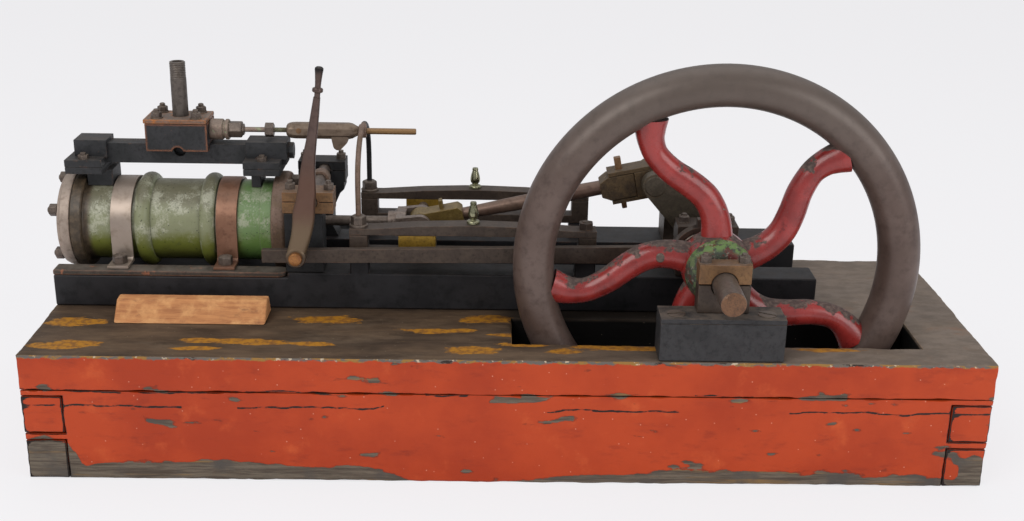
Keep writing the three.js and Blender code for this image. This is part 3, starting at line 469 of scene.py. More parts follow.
class Skin:
    """A procedural material. Sizes are in millimetres and patterns stay with the piece."""

    def __init__(self, name):
        self.material = bpy.data.materials.new(name)
        self.material.use_nodes = True
        self.tree = self.material.node_tree
        self.tree.nodes.clear()
        self.place = self.node("ShaderNodeTexCoord").outputs["Object"]
        self.normal = None
        self.colour = None
        self.facing = self.node("ShaderNodeNewGeometry").outputs["Normal"]

    def node(self, kind, inputs=None, **settings):
        made = self.tree.nodes.new(kind)
        for key, value in settings.items():
            setattr(made, key, value)
        for key, value in (inputs or {}).items():
            socket = made.inputs[key]
            if isinstance(value, bpy.types.NodeSocket):
                self.tree.links.new(value, socket)
            else:
                socket.default_value = value
        return made

    def scaled(self, size, stretch, seed):
        scale = [1 / (MM * size * s) for s in stretch]
        return self.node("ShaderNodeMapping", {
            "Vector": self.place, "Scale": scale, "Location": (seed, seed * 0.7, seed * 1.3)}).outputs[0]

    def cloud(self, size, detail=4.0, rough=0.55, stretch=(1, 1, 1), bend=0.0, seed=0.0):
        """Noise from 0 to 1 about 0.5."""
        return self.node("ShaderNodeTexNoise", {
            "Vector": self.scaled(size, stretch, seed), "Scale": 1.0, "Detail": detail,
            "Roughness": rough, "Distortion": bend}).outputs[0]

    def specks(self, size, seed=0.0):
        """Distance to scattered points, from 0."""
        return self.node("ShaderNodeTexVoronoi", {
            "Vector": self.scaled(size, (1, 1, 1), seed), "Scale": 1.0}).outputs["Distance"]

    def field(self, name):
        return self.node("ShaderNodeAttribute", attribute_name=name).outputs["Fac"]

    def band(self, value, low, high):
        """0 below low and 1 above high, smooth between."""
        return self.node("ShaderNodeMapRange", {0: value, 1: low, 2: high},
                         interpolation_type="SMOOTHSTEP").outputs[0]

    def math(self, kind, a, b):
        return self.node("ShaderNodeMath", {0: a, 1: b}, operation=kind).outputs[0]

    def add(self, a, b):
        return self.math("ADD", a, b)

    def times(self, a, b):
        return self.math("MULTIPLY", a, b)

    def most(self, a, b):
        return self.math("MAXIMUM", a, b)

    def mix(self, share, a, b):
        """A colour from a at 0 to b at 1, each a hex code or another node's colour."""
        made = self.node("ShaderNodeMix", data_type="RGBA")
        for index, value in ((0, share), (6, a), (7, b)):
            if isinstance(value, str):
                value = rgb(value)
            if isinstance(value, bpy.types.NodeSocket):
                self.tree.links.new(value, made.inputs[index])
            else:
                made.inputs[index].default_value = value
        return made.outputs[2]

    def cover(self, mask, colour, share=None):
        """Lays a colour over what is there where the mask is 1, or only a share of it."""
        amount = mask if share is None else self.times(mask, share)
        self.colour = self.mix(amount, self.colour, colour)

    def between(self, share, a, b):
        """A number from a at 0 to b at 1."""
        return self.node("ShaderNodeMix", {0: share, 2: a, 3: b}).outputs[0]

    def edges(self, reach):
        """1 on edges and 0 on flats."""
        soft = self.node("ShaderNodeBevel", {"Radius": reach * MM}, samples=4).outputs[0]
        dot = self.node("ShaderNodeVectorMath", {0: soft, 1: self.facing},
                        operation="DOT_PRODUCT").outputs["Value"]
        return self.band(self.math("SUBTRACT", 1.0, dot), 0.01, 0.2)

    def hollows(self, reach):
        """1 in corners and crevices and 0 in the open, from ambient occlusion; the materials darken it as
        painted shade.
        """
        shade = self.node("ShaderNodeAmbientOcclusion", {"Distance": reach * MM}, samples=4).outputs["AO"]
        return self.band(self.math("SUBTRACT", 1.0, shade), 0.25, 0.85)

    def slope(self):
        """1 on faces that look up, 0 on walls and -1 on faces that look down."""
        return self.node("ShaderNodeSeparateXYZ", {0: self.facing}).outputs[2]

    def height(self, axis=2):
        """Layout height (or another coordinate) in millimetres."""
        value = self.node("ShaderNodeSeparateXYZ", {0: self.place}).outputs[axis]
        return self.times(self.math("SUBTRACT", value, CORNER[axis]), 1 / MM)

    def bump(self, height, depth):
        """Adds relief `depth` millimetres high."""
        inputs = {"Height": height, "Distance": depth * MM, "Strength": 1.0}
        if self.normal is not None:
            inputs["Normal"] = self.normal
        self.normal = self.node("ShaderNodeBump", inputs).outputs[0]

    def finish(self, roughness, metal=0.0, coat=0.0, shine=0.5):
        inputs = {"Base Color": self.colour, "Roughness": roughness, "Metallic": metal,
                  "Coat Weight": coat, "Coat Roughness": 0.2, "Specular IOR Level": shine}
        if self.normal is not None:
            inputs["Normal"] = self.normal
        shader = self.node("ShaderNodeBsdfPrincipled", inputs).outputs[0]
        self.node("ShaderNodeOutputMaterial", {"Surface": shader})
        return self.material


def worn_coat(name, shades, bare, size=30, chip=0.66, edge=0.5, gloss=(0.25, 0.5), metal=(0.0, 0.6),
              dust=("7d7063", 0.3), hollow_shade_share=0.5, grain=0.12, coat=0.0, reach=1.3, shine=0.4, along=()):
    """Paint or patina in three shades, worn through to `bare` along edges and in chips. chip is
    the noise level above which it has come off, edge how readily edges wear and reach how far in,
    dust a colour and how much lies on faces that look up. along lists (axis, from, to, colour,
    share): tints that grow along an axis of the layout."""
    skin = Skin(name)
    broad = skin.cloud(size, 5, 0.6)
    fine = skin.cloud(size * 0.18, 6, 0.65, seed=3)
    skin.colour = skin.mix(skin.band(broad, 0.35, 0.62), shades[0], shades[1])
    skin.cover(skin.band(fine, 0.45, 0.75), shades[2])
    for axis, start, end, tint, share in along:
        drift = skin.add(skin.height(axis), skin.times(skin.math("SUBTRACT", broad, 0.5), 30))
        skin.cover(skin.band(drift, start, end), tint, share)
    ragged = skin.times(skin.add(skin.cloud(5, 8, 0.7, seed=9), skin.cloud(19, 6, 0.7, seed=29)), 0.5)
    worn_edge = skin.band(skin.add(skin.edges(reach), skin.times(ragged, 2.6)), 2.5 - edge, 2.7 - edge)
    chipped = skin.band(skin.cloud(9, 8, 0.62, seed=17), chip, chip + 0.015)
    gone = skin.most(worn_edge, chipped)
    bare_colour = skin.mix(skin.band(skin.cloud(6, 5, 0.6, seed=4), 0.35, 0.7), bare[0], bare[1])
    skin.cover(gone, bare_colour)
    rough = skin.between(fine, gloss[0], gloss[1])
    rough = skin.between(gone, rough, 0.45)
    # Painted shade: corners and crevices darkened towards near black, from ambient occlusion; there the
    # finish is also made rough and not metallic.
    hollow_shade = skin.times(skin.hollows(7), hollow_shade_share)
    skin.cover(hollow_shade, "1c1612")
    looks_up = skin.band(skin.slope(), 0.35, 0.95)
    lying = skin.times(looks_up, skin.band(skin.cloud(14, 7, 0.7, seed=21), 0.3, 0.7))
    lying = skin.times(lying, dust[1])
    skin.cover(lying, dust[0])
    rough = skin.between(skin.most(lying, hollow_shade), rough, 0.9)
    metallic = skin.between(gone, metal[0], metal[1])
    metallic = skin.between(skin.most(lying, hollow_shade), metallic, 0.0)
    skin.bump(skin.cloud(2.4, 5, 0.6, seed=6), grain)
    skin.bump(gone, -0.12)
    weight = skin.between(skin.most(gone, lying), coat, 0.0) if coat else 0.0
    return skin.finish(rough, metallic, weight, shine=shine)


def old_paint():
    """Orange-red paint on the base boards, off in flakes down to dark wood."""
    skin = Skin("old orange paint")
    grain = skin.cloud(5, 7, 0.7, (9, 9, 0.55), bend=0.5)
    streak = skin.cloud(16, 5, 0.6, (8, 8, 0.35), seed=2)
    wood = skin.mix(skin.band(grain, 0.35, 0.65), "4a4037", "6d6356")
    wood = skin.mix(skin.band(streak, 0.56, 0.68), wood, "86683f")
    wood = skin.mix(skin.band(skin.cloud(40, 4), 0.5, 0.7), wood, "4f4a45")
    tint = skin.mix(skin.band(skin.cloud(90, 5, 0.6), 0.35, 0.65), "a03410", "b13f16")
    tint = skin.mix(skin.band(skin.cloud(14, 7, 0.7, (3, 3, 1), seed=8), 0.52, 0.78), tint, "8a2c12")
    tint = skin.mix(skin.band(skin.cloud(30, 5, 0.6, seed=5), 0.58, 0.8), tint, "be5024")
    dots = skin.band(skin.specks(9, 4), 0.085, 0.04)
    tint = skin.mix(skin.times(dots, 0.5), tint, "e0a890")
    ragged = skin.math("SUBTRACT", skin.cloud(4.5, 8, 0.65, (1.8, 1.8, 1), seed=1), 0.5)
    level = skin.add(skin.field("bare"), skin.times(ragged, 5.0))
    gone = skin.band(level, -0.12, 0.12)
    rim = skin.times(skin.band(level, -0.9, -0.15), skin.math("SUBTRACT", 1.0, gone))
    skin.colour = skin.mix(skin.times(rim, 0.55), tint, "56200f")
    skin.cover(gone, wood)
    # Along the top edge the paint has rubbed off to ochre, grey and dark wood in turn.
    rubbed = skin.add(skin.height(2), skin.times(ragged, 9.0))
    bands = skin.cloud(16, 5, 0.7, (2.5, 1, 1), seed=19)
    lip_wood = skin.mix(skin.band(bands, 0.46, 0.5), "8f6a33", "635c55")
    lip_wood = skin.mix(skin.band(bands, 0.56, 0.6), lip_wood, "2b211b")
    lip_wood = skin.mix(skin.band(skin.cloud(6, 4, seed=23), 0.6, 0.66), lip_wood, "b9a88f")
    lip = skin.band(rubbed, -3.4, -2.2)
    skin.cover(lip, lip_wood)
    crack = skin.band(skin.add(skin.field("crack"), skin.times(ragged, 2.2)), 1.05, 0.6)
    skin.cover(crack, "1d1512")
    # Painted shade: dark brown in corners and crevices, from ambient occlusion.
    hollow_shade = skin.times(skin.hollows(4), 0.5)
    skin.cover(hollow_shade, "2a1a14")
    rough = skin.between(gone, skin.between(skin.cloud(8, 5, seed=12), 0.32, 0.5), 0.78)
    skin.bump(skin.cloud(26, 4, 0.5, (2, 2, 1), seed=14), 0.9)
    skin.bump(skin.cloud(1.6, 3, 0.6), 0.05)
    skin.bump(skin.times(grain, gone), 0.35)
    skin.bump(skin.most(gone, crack), -0.35)
    return skin.finish(rough, shine=0.3)


def plank_top():
    """Dark worn varnish along the plank, with ochre patches and a dusty grey end; its edges
    carry the base's paint."""
    skin = Skin("worn plank")
    grain = skin.cloud(4.5, 7, 0.72, (11, 1, 1), bend=0.4)
    smear = skin.cloud(30, 7, 0.68, (3.2, 1, 1), seed=3)
    skin.colour = skin.mix(skin.band(smear, 0.36, 0.66), "36291e", "5f4c3a")
    skin.cover(skin.band(grain, 0.42, 0.72), "4b3b2e")
    right = skin.band(skin.add(skin.height(0), skin.times(smear, 220)), 60, 430)
    dusty = skin.mix(skin.band(skin.cloud(13, 8, 0.75, (2.2, 1, 1), seed=31), 0.4, 0.62), "6a5f55", "7d7065")
    dusty = skin.mix(skin.band(skin.cloud(26, 6, 0.7, (1.6, 1, 1), seed=33), 0.55, 0.72), dusty, "7c6150")
    skin.cover(right, dusty, 0.8)
    left_dust = skin.band(skin.cloud(50, 6, 0.7, (2, 1, 1), seed=6), 0.5, 0.75)
    skin.cover(left_dust, "7b6a58", 0.35)
    broken = skin.math("SUBTRACT", skin.cloud(9, 8, 0.75, (3.5, 1, 1), seed=7), 0.5)
    worn = skin.band(skin.add(skin.field("ochre"), skin.times(broken, 5.4)), 0.0, 0.35)
    ochre = skin.mix(skin.band(skin.cloud(5, 5, seed=2), 0.4, 0.65), "a8721c", "7f5424")
    ochre = skin.mix(skin.band(skin.cloud(3, 6, 0.7, (4, 1, 1), seed=35), 0.6, 0.68), ochre, "3f2f22")
    skin.cover(worn, ochre, 0.92)
    scratches = skin.band(skin.cloud(3.2, 6, 0.8, (16, 1, 1), seed=11), 0.66, 0.74)
    skin.cover(scratches, "9b7c50", 0.6)
    lip = skin.times(skin.edges(1.6), skin.band(skin.cloud(5, 5, seed=15), 0.3, 0.6))
    skin.cover(lip, "94713f", 0.7)
    # Painted shade: near black in corners and crevices, from ambient occlusion.
    hollow_shade = skin.times(skin.hollows(16), 0.75)
    skin.cover(hollow_shade, "17110d")
    # Painted shade: the strip between the wheel's slot and the bed is darkened nearly to black, and so are
    # the slot's walls.
    behind = skin.times(skin.band(skin.height(1), 88, 97), skin.band(skin.height(0), 300, 270))
    behind = skin.times(behind, skin.band(skin.height(0), -30, 10))
    skin.cover(behind, "14100d", 0.85)
    skin.cover(skin.band(skin.height(2), -1.6, -4), "0a0807")
    lint = skin.band(skin.specks(7, 8), 0.07, 0.03)
    skin.cover(lint, "a2927c", 0.6)
    rough = skin.between(skin.cloud(18, 5, seed=9), 0.5, 0.8)
    skin.bump(grain, 0.22)
    skin.bump(skin.cloud(22, 4, 0.5, (3, 1, 1), seed=10), 0.5)
    return skin.finish(rough, shine=0.25)


def bare_wood():
    skin = Skin("bare wood")
    grain = skin.cloud(3.5, 6, 0.7, (10, 1, 1), bend=0.3)
    skin.colour = skin.mix(skin.band(grain, 0.35, 0.7), "bd8354", "9a6440")
    skin.cover(skin.band(skin.cloud(16, 5, 0.6, seed=3), 0.42, 0.7), "cf9a66")
    skin.cover(skin.band(skin.cloud(9, 7, 0.7, (2, 1, 1), seed=5), 0.55, 0.75), "6b4a38", 0.7)
    skin.cover(skin.edges(1.5), "a98968", 0.4)
    skin.bump(grain, 0.3)
    skin.bump(skin.cloud(6, 6, 0.7, seed=8), 0.3)
    return skin.finish(0.82, shine=0.3)


def green_barrel():
    """Mottled green toned by which way each face looks: painted shade on faces that look down, yellow-green
    below the middle, a pale grey-green painted highlight round the middle with fine pale speckles, and greyer
    olive above.
    """
    skin = Skin("mottled green")
    up = skin.slope()
    broad = skin.cloud(26, 6, 0.65)
    level = skin.add(up, skin.times(skin.math("SUBTRACT", broad, 0.5), 0.9))
    # Toned by which way faces look: painted shade, dark olive, on faces that look down; a paler grey-green
    # painted highlight on faces that look sideways; greyer olive on faces that look up.
    skin.colour = skin.mix(skin.band(level, -0.8, -0.3), "50501f", "656a2a")
    skin.cover(skin.band(level, -0.3, 0.1), "7d8062")
    skin.cover(skin.band(level, 0.3, 0.8), "66634f")
    bright = skin.band(skin.add(skin.height(0), skin.times(broad, 20)), -252, -236)
    skin.cover(bright, "5f8a4a", 0.6)
    fine = skin.cloud(1.8, 6, 0.8, (1, 1, 1.3), seed=4)
    # Pale speckles, partly the paint's own rubbed texture and partly painted highlight, kept to the
    # sideways-looking band that carries the painted highlight.
    pale = skin.band(skin.add(fine, skin.times(skin.cloud(15, 4, seed=14), 1.1)), 1.02, 1.22)
    lit_band = skin.times(skin.band(level, -0.35, 0.1), skin.band(level, 1.2, 0.7))
    skin.cover(skin.times(pale, lit_band), "abab98", 0.7)
    dark = skin.band(skin.cloud(6, 8, 0.8, seed=8), 0.55, 0.68)
    skin.cover(dark, "434730", 0.6)
    pits = skin.band(skin.specks(5, 2), 0.14, 0.07)
    skin.cover(pits, "1a1c12", 0.85)
    # Painted highlight: pale grey-green laid along edges and over the mouldings.
    edge = skin.band(skin.add(skin.edges(2.0), skin.cloud(6, 6, 0.7, seed=12)), 1.15, 1.45)
    skin.cover(edge, "8f9080", 0.45)
    ends = skin.band(skin.height(0), -388, -394)
    flange = skin.mix(skin.band(skin.cloud(7, 6, 0.7, seed=41), 0.4, 0.65), "3a3024", "544636")
    skin.cover(ends, flange)
    # Painted shade: near black in corners and crevices, from ambient occlusion.
    hollow_shade = skin.times(skin.hollows(8), 0.7)
    skin.cover(hollow_shade, "17160f")
    rough = skin.between(skin.cloud(5, 6, 0.7, seed=6), 0.3, 0.62)
    skin.bump(skin.cloud(12, 4, 0.5), 0.45)
    skin.bump(fine, 0.2)
    return skin.finish(rough, coat=0.1, shine=0.35)


def spoke_red():
    """Deep glossy red under rough dark dust that lies in sharp-edged patches on top."""
    skin = Skin("spoke red")
    skin.colour = skin.mix(skin.band(skin.cloud(34, 5, 0.6), 0.35, 0.65), "74201d", "93302c")
    skin.cover(skin.band(skin.cloud(9, 7, 0.7, seed=3), 0.55, 0.75), "5f1917")
    chip = skin.band(skin.cloud(8, 8, 0.65, seed=17), 0.68, 0.69)
    skin.cover(chip, "6b6259")
    up = skin.slope()
    patch = skin.math("SUBTRACT", skin.cloud(18, 7, 0.66, seed=5), 0.5)
    dust = skin.band(skin.add(up, skin.times(patch, 3.0)), 0.66, 0.78)
    grey = skin.mix(skin.band(skin.cloud(4, 6, 0.7, seed=7), 0.4, 0.65), "3a3733", "625850")
    skin.cover(dust, grey, 0.92)
    # Painted shade: darkened in corners and crevices, from ambient occlusion.
    skin.cover(skin.hollows(7), "1c1212", 0.5)
    rough = skin.between(skin.most(dust, chip), skin.between(skin.cloud(12, 5), 0.2, 0.36), 0.8)
    skin.bump(skin.cloud(7, 5, 0.6, seed=9), 0.25)
    skin.bump(dust, 0.15)
    return skin.finish(rough, coat=skin.between(dust, 0.3, 0.0), shine=0.4)


def hub_boss():
    """The hub's front: red rubbed away to a dark casting with green and grey in it."""
    skin = Skin("hub boss")
    patch = skin.cloud(11, 7, 0.7, seed=2)
    skin.colour = skin.mix(skin.band(patch, 0.42, 0.5), "5a2620", "3d4238")
    skin.cover(skin.band(patch, 0.53, 0.58), "5d6a48")
    up = skin.slope()
    top = skin.times(skin.band(up, 0.35, 0.7), skin.band(skin.cloud(8, 6, 0.7, seed=5), 0.42, 0.5))
    skin.cover(top, "617a46")
    skin.cover(skin.band(skin.cloud(4, 7, 0.75, seed=8), 0.57, 0.63), "857d70")
    # Painted shade: darkened in corners and crevices, from ambient occlusion.
    skin.cover(skin.hollows(6), "15100e", 0.6)
    skin.bump(skin.cloud(5, 6, 0.7, seed=11), 0.4)
    return skin.finish(skin.between(patch, 0.4, 0.7), 0.1, shine=0.35)


ORANGE = old_paint()
PLANK = plank_top()
BARE_WOOD_SKIN = bare_wood()
GREEN = green_barrel()
BED = worn_coat("black bed paint", ("1f1e20", "29282a", "161617"), ("6b4a38", "463429"), 60, 0.73, 0.3,
                (0.4, 0.6), (0.0, 0.05), ("4f4841", 0.3), 0.25, 0.08, reach=3.0, shine=0.22)
BLACK = worn_coat("black casting paint", ("242526", "2f2f31", "191a1b"), ("7f5a45", "5b4638"), 24, 0.7,
                  0.15, (0.4, 0.62), (0.0, 0.3), ("5b524b", 0.5), 0.3, 0.2, reach=3.2, shine=0.3)
CHEST = worn_coat("chest paint", ("242526", "2f2f31", "191a1b"), ("9c6444", "774c36"), 24, 0.72,
                  0.95, (0.4, 0.62), (0.0, 0.3), ("5b524b", 0.5), 0.3, 0.2, reach=4.0, shine=0.3)
COVER = worn_coat("copper-brown cover", ("5d4d42", "70625a", "4b3d32"), ("b0703f", "8f5c38"), 18, 0.64,
                  1.15, (0.4, 0.6), (0.2, 0.6), ("7d7066", 0.8), 0.3, 0.2, reach=3.6)
SOLE = worn_coat("dusty sole plate", ("3a342e", "4b433b", "2b2724"), ("8f5c43", "6f4a37"), 26, 0.62, 0.95,
                 (0.5, 0.7), (0.2, 0.3), ("6f665c", 0.7), 0.4, 0.25, reach=2.6)
BAND = worn_coat("bronzed strap", ("93857a", "9d8f83", "857668"), ("8f6c56", "735748"), 60, 0.88, 0.2,
                 (0.34, 0.42), (0.6, 0.65), ("8a7d71", 0.2), 0.3, 0.03)
FRONT_BAND = worn_coat("coppery strap", ("76523f", "85604c", "664636"), ("a08572", "5d4438"), 34, 0.8, 0.3,
                       (0.34, 0.46), (0.5, 0.55), ("76665a", 0.3), 0.3, 0.05)
REAR = worn_coat("brown-grey cover", ("8f8074", "9d8e82", "7b6c60"), ("957560", "765b4b"), 28, 0.76, 0.4,
                 (0.4, 0.55), (0.4, 0.5), ("91857a", 0.4), 0.3, 0.12, reach=2.2)
CASTING = worn_coat("pinkish rough casting", ("65513f", "755f52", "523f36"), ("8a6c5a", "5d4a3c"), 12,
                    0.64, 0.4, (0.45, 0.65), (0.25, 0.35), ("7c6e64", 0.4), 0.45, 0.3, reach=2.0)
DARK_IRON = worn_coat("dark brown iron", ("3f342d", "4b3f36", "312822"), ("735340", "574336"), 20, 0.74,
                      0.3, (0.4, 0.6), (0.3, 0.45), ("544a42", 0.45), 0.35, 0.12, reach=2.4)
FORK = worn_coat("rubbed crosshead", ("766860", "887a71", "574a40"), ("98897f", "765f4a"), 14, 0.68, 0.4,
                 (0.3, 0.45), (0.6, 0.7), ("766b60", 0.3), 0.5, 0.12, reach=2.0)
ROD = worn_coat("reddish iron rod", ("614a40", "705a4d", "4f3b32"), ("82634f", "6a4c3d"), 40, 0.76, 0.3,
                (0.32, 0.46), (0.45, 0.5), ("6b5e54", 0.3), 0.3, 0.06)
SMALL_END = worn_coat("olive bronze small end", ("6d592f", "7d6838", "524326"), ("8c7648", "705a36"), 10,
                      0.64, 0.4, (0.32, 0.5), (0.45, 0.65), ("7d7160", 0.35), 0.45, 0.15, reach=2.0)
LEVER = worn_coat("handled iron", ("50413c", "5b4a44", "453733"), ("74635a", "5f4a3c"), 45, 0.82, 0.2,
                  (0.3, 0.42), (0.5, 0.55), ("6d6054", 0.12), 0.3, 0.05,
                  along=((2, 170, 120, "604538", 0.8), (2, 108, 80, "70604a", 0.75),
                         (2, 68, 62, "4a3d33", 0.9), (2, 222, 229, "1f1b1b", 1)))
LINK = worn_coat("brown bronze link", ("68584c", "756556", "554639"), ("94785c", "735a49"), 30, 0.78, 0.35,
                 (0.32, 0.46), (0.5, 0.6), ("807266", 0.35), 0.4, 0.06, reach=2.0,
                 along=((0, -146, -132, "85653f", 0.9),))
# The rim darkens from the plank's top down into the base's slot: painted shade. It also turns greyer towards
# its top.
RIM = worn_coat("flywheel rim", ("54443d", "61514a", "493a34"), ("70605a", "57453e"), 55, 0.84, 0.1,
                (0.34, 0.46), (0.2, 0.3), ("645951", 0.12), 0.2, 0.05,
                along=((2, 0, -70, "4a3d38", 0.6), (2, 120, 230, "585049", 0.6)))
RED = spoke_red()
HUB = hub_boss()
BRASS = worn_coat("tarnished brass", ("8a6c28", "9c7c30", "6b5220"), ("b08f48", "96762f"), 14, 0.7, 0.4,
                  (0.32, 0.5), (0.5, 0.7), ("80735f", 0.3), 0.4, 0.06)
BRONZE = worn_coat("brown bronze", ("6d5138", "806040", "533f2c"), ("96694a", "805a3e"), 16, 0.68, 0.4,
                   (0.38, 0.56), (0.4, 0.6), ("746860", 0.7), 0.4, 0.12, reach=2.4)
GLAND = worn_coat("pale bronze gland", ("77655a", "86766a", "5f5045"), ("8a8a70", "6c6f58"), 7, 0.6, 0.5,
                  (0.35, 0.5), (0.4, 0.6), ("7c7066", 0.4), 0.4, 0.1)
PALE_BRASS = worn_coat("polished pale brass", ("85846a", "a09e82", "625f47"), ("c0bd9c", "97946f"), 8,
                       0.72, 0.4, (0.16, 0.3), (0.95, 1.0), ("7d7862", 0.2), 0.5, 0.05)
PIN_BRASS = worn_coat("rubbed pin", ("8a5c38", "a06f42", "6a4630"), ("bd8a55", "94683e"), 9, 0.68, 0.4,
                      (0.28, 0.42), (0.7, 0.85), ("6d6258", 0.1), 0.4, 0.06)
NUT = worn_coat("nuts and studs", ("534943", "665a51", "413833"), ("867769", "6b5a4c"), 7, 0.7, 0.4,
                (0.32, 0.5), (0.5, 0.6), ("7a6f64", 0.45), 0.45, 0.1, reach=1.6)
STEEL = worn_coat("dull turned steel", ("62574f", "72665d", "4e433c"), ("897d73", "716254"), 16, 0.77,
                  0.3, (0.3, 0.46), (0.6, 0.7), ("70655b", 0.3), 0.4, 0.06)
WEB = worn_coat("olive-brown crank web", ("474034", "564d40", "373027"), ("6d5c42", "504130"), 12, 0.66, 0.4,
                (0.4, 0.6), (0.25, 0.45), ("72675a", 0.45), 0.45, 0.2, reach=2.2)
BIG_END = worn_coat("rough dark bronze", ("453728", "59472f", "31271c"), ("77603f", "58452e"), 9, 0.64, 0.4,
                    (0.45, 0.7), (0.25, 0.45), ("6f6457", 0.4), 0.5, 0.35, reach=2.0)
SHAFT_END = worn_coat("worn shaft end", ("5f4330", "73523a", "43332a"), ("876a55", "6f5442"), 7, 0.6,
                      0.6, (0.42, 0.58), (0.3, 0.45), ("6d6258", 0.1), 0.2, 0.15)
PIPE = worn_coat("grey-brown pipe", ("514a44", "5f5751", "3f3934"), ("7a6f64", "5f5045"), 22, 0.76, 0.4,
                 (0.38, 0.52), (0.45, 0.55), ("6f665c", 0.25), 0.5, 0.06)
PEDESTAL = worn_coat("plain black iron", ("1d1d1e", "282829", "151516"), ("5d5248", "4a3b30"), 26, 0.74,
                     0.25, (0.45, 0.65), (0.05, 0.3), ("5b524a", 0.35), 0.25, 0.12, reach=2.0, shine=0.25)
BLOCK_TOP = worn_coat("grey block paint", ("2c2b2c", "363536", "202021"), ("4b4742", "3c3733"), 30,
                      0.75, 0.25, (0.5, 0.7), (0.0, 0.05), ("6c6056", 0.9), 0.25, 0.15, shine=0.25)


# ---- base: boards with their paint flaked off ------------------------------------------------
# Each board, and how fine its grid is along x, y and z.
BOARDS = {
    "base_top_plank": (3.4, 3.4, 1.7),
    "base_front_board": (3.0, 7.0, 1.5),
    "base_back_board": (4.0, 7.0, 2.2),
    "base_left_board": (7.0, 3.5, 2.0),
    "base_right_board": (7.0, 3.5, 2.0),
}
plank_span = span("base_top_plank")
plank_foot = plank_span[0].z
BASE_FOOT = span("base_front_board")[0].z
BASE_LENGTH = plank_span[1].x - plank_span[0].x
FRONT = plank_span[0].y + 0.5
# Stretches along the front's foot that have lost their paint: the middle and half length of each
# as shares of the base's length, and how high the bare wood reaches in millimetres.
BARE_STRETCHES = ((0.02, 0.04, 40), (0.2, 0.2, 18), (0.75, 0.25, 12), (0.99, 0.02, 30))
# Long cracks by the plank's joint: how far under it each runs, in millimetres, and its seed.
JOINT_CRACKS = ((0, 2.0), (14, 6.5))
NO_CRACK = 9.0
OCHRE_PATCHES = 26
EDGE_WEAR = 1.1


def bare_foot(points, ragged):
    """How far points on the front lie below the ragged top of the bare stretches."""
    x, y, z = points.T
    top = np.full(len(points), BASE_FOOT)
    for centre, half, reach in BARE_STRETCHES:
        away = ((x - plank_span[0].x) / BASE_LENGTH - centre) / half
        top = np.maximum(top, BASE_FOOT + reach * np.sqrt(np.clip(1 - away ** 2, 0, 1)))
    return top - z + 5 * ragged


def flaking(points):
    """How far each point lies inside bare wood, in millimetres, negative under paint."""
    y, z = points[:, 1], points[:, 2]
    ragged = cloud(points, (46, 46, 9), 3.1) + 0.5 * cloud(points, (15, 15, 5), 8.2)
    near_floor = np.clip((BASE_FOOT + 30 - z) / 28, 0, 1)
    near_joint = np.clip(1 - np.abs(z - plank_foot) / 7, 0, 1)
    strewn = (ragged - 0.62 + 0.75 * near_floor + 0.35 * near_joint) * 9
    chips = (ragged - 0.66 + 0.3 * near_joint) * 9
    front = np.maximum(chips, bare_foot(points, ragged))
    return np.clip(np.where(y < FRONT, front, strewn), -6, 6)


def finger_outlines(node):
    """The ends of an end board's fingers as they show in the front, as (x, z) lines."""
    low, high = span(node)
    corners = [(v.co - CORNER) / MM for v in frame["nodes"][node].data.vertices]
    heights = sorted({round(p.z, 1) for p in corners if p.y < FRONT})
    return [[(low.x, a), (low.x, b), (high.x, b), (high.x, a), (low.x, a)]
            for a, b in zip(heights[::2], heights[1::2])]


def cracking(points):
    """Distance from each point to the nearest crack in the front's paint, in millimetres."""
    along = points * (1, 0, 0)
    nearest = np.full(len(points), NO_CRACK)
    for drop, seed in JOINT_CRACKS:
        wander = 3 * cloud(along, 34, seed) + cloud(along, 9, seed + 1)
        away = np.abs(points[:, 2] - plank_foot + drop - wander)
        nearest = np.minimum(nearest, np.where(cloud(along, 90, seed + 4) > -0.12, away, NO_CRACK))
    for outline in finger_outlines("base_left_board") + finger_outlines("base_right_board"):
        nearest = np.minimum(nearest, distance_to(points[:, [0, 2]], outline))
    return np.where(points[:, 1] < FRONT, nearest, NO_CRACK)


def ochre_patches(points):
    """How far each point of the plank lies inside a patch of ochre, most of them near the front."""
    scatter = random.Random(23)
    inside = np.full(len(points), -3.0)
    for _ in range(OCHRE_PATCHES):
        x = scatter.uniform(plank_span[0].x + 12, plank_span[1].x - 120)
        y = plank_span[0].y + 18 + 85 * scatter.random() ** 2
        away = np.hypot((points[:, 0] - x) / scatter.uniform(12, 38),
                        (points[:, 1] - y) / scatter.uniform(3, 11))
        inside = np.maximum(inside, (1 - away) * 2.2)
    return inside


def weathered(points, outward, wear):
    """Rounds and dents the edges of a gridded board."""
    on_edge = np.abs(outward).sum(1) >= 2
    dents = 0.45 + 0.55 * cloud(points, 22, 5.5) + 0.5 * np.maximum(0, cloud(points, 8, 1.5))
    amount = wear * np.clip(dents, 0.12, 1.6) * on_edge
    return points - outward * amount[:, None]


def plank_skins(shape, upper, low, high):
    """1 on the plank's top and inside its slots, and 0 on its painted outside."""
    skins = []
    for face in shape.faces:
        x, y, _ = np.mean(shape.points[list(face)], axis=0)
        walled = low.x + 1 < x < high.x - 1 and low.y + 1 < y < high.y - 1
        skins.append(1 if walled or all(upper[i] for i in face) else 0)
    return skins


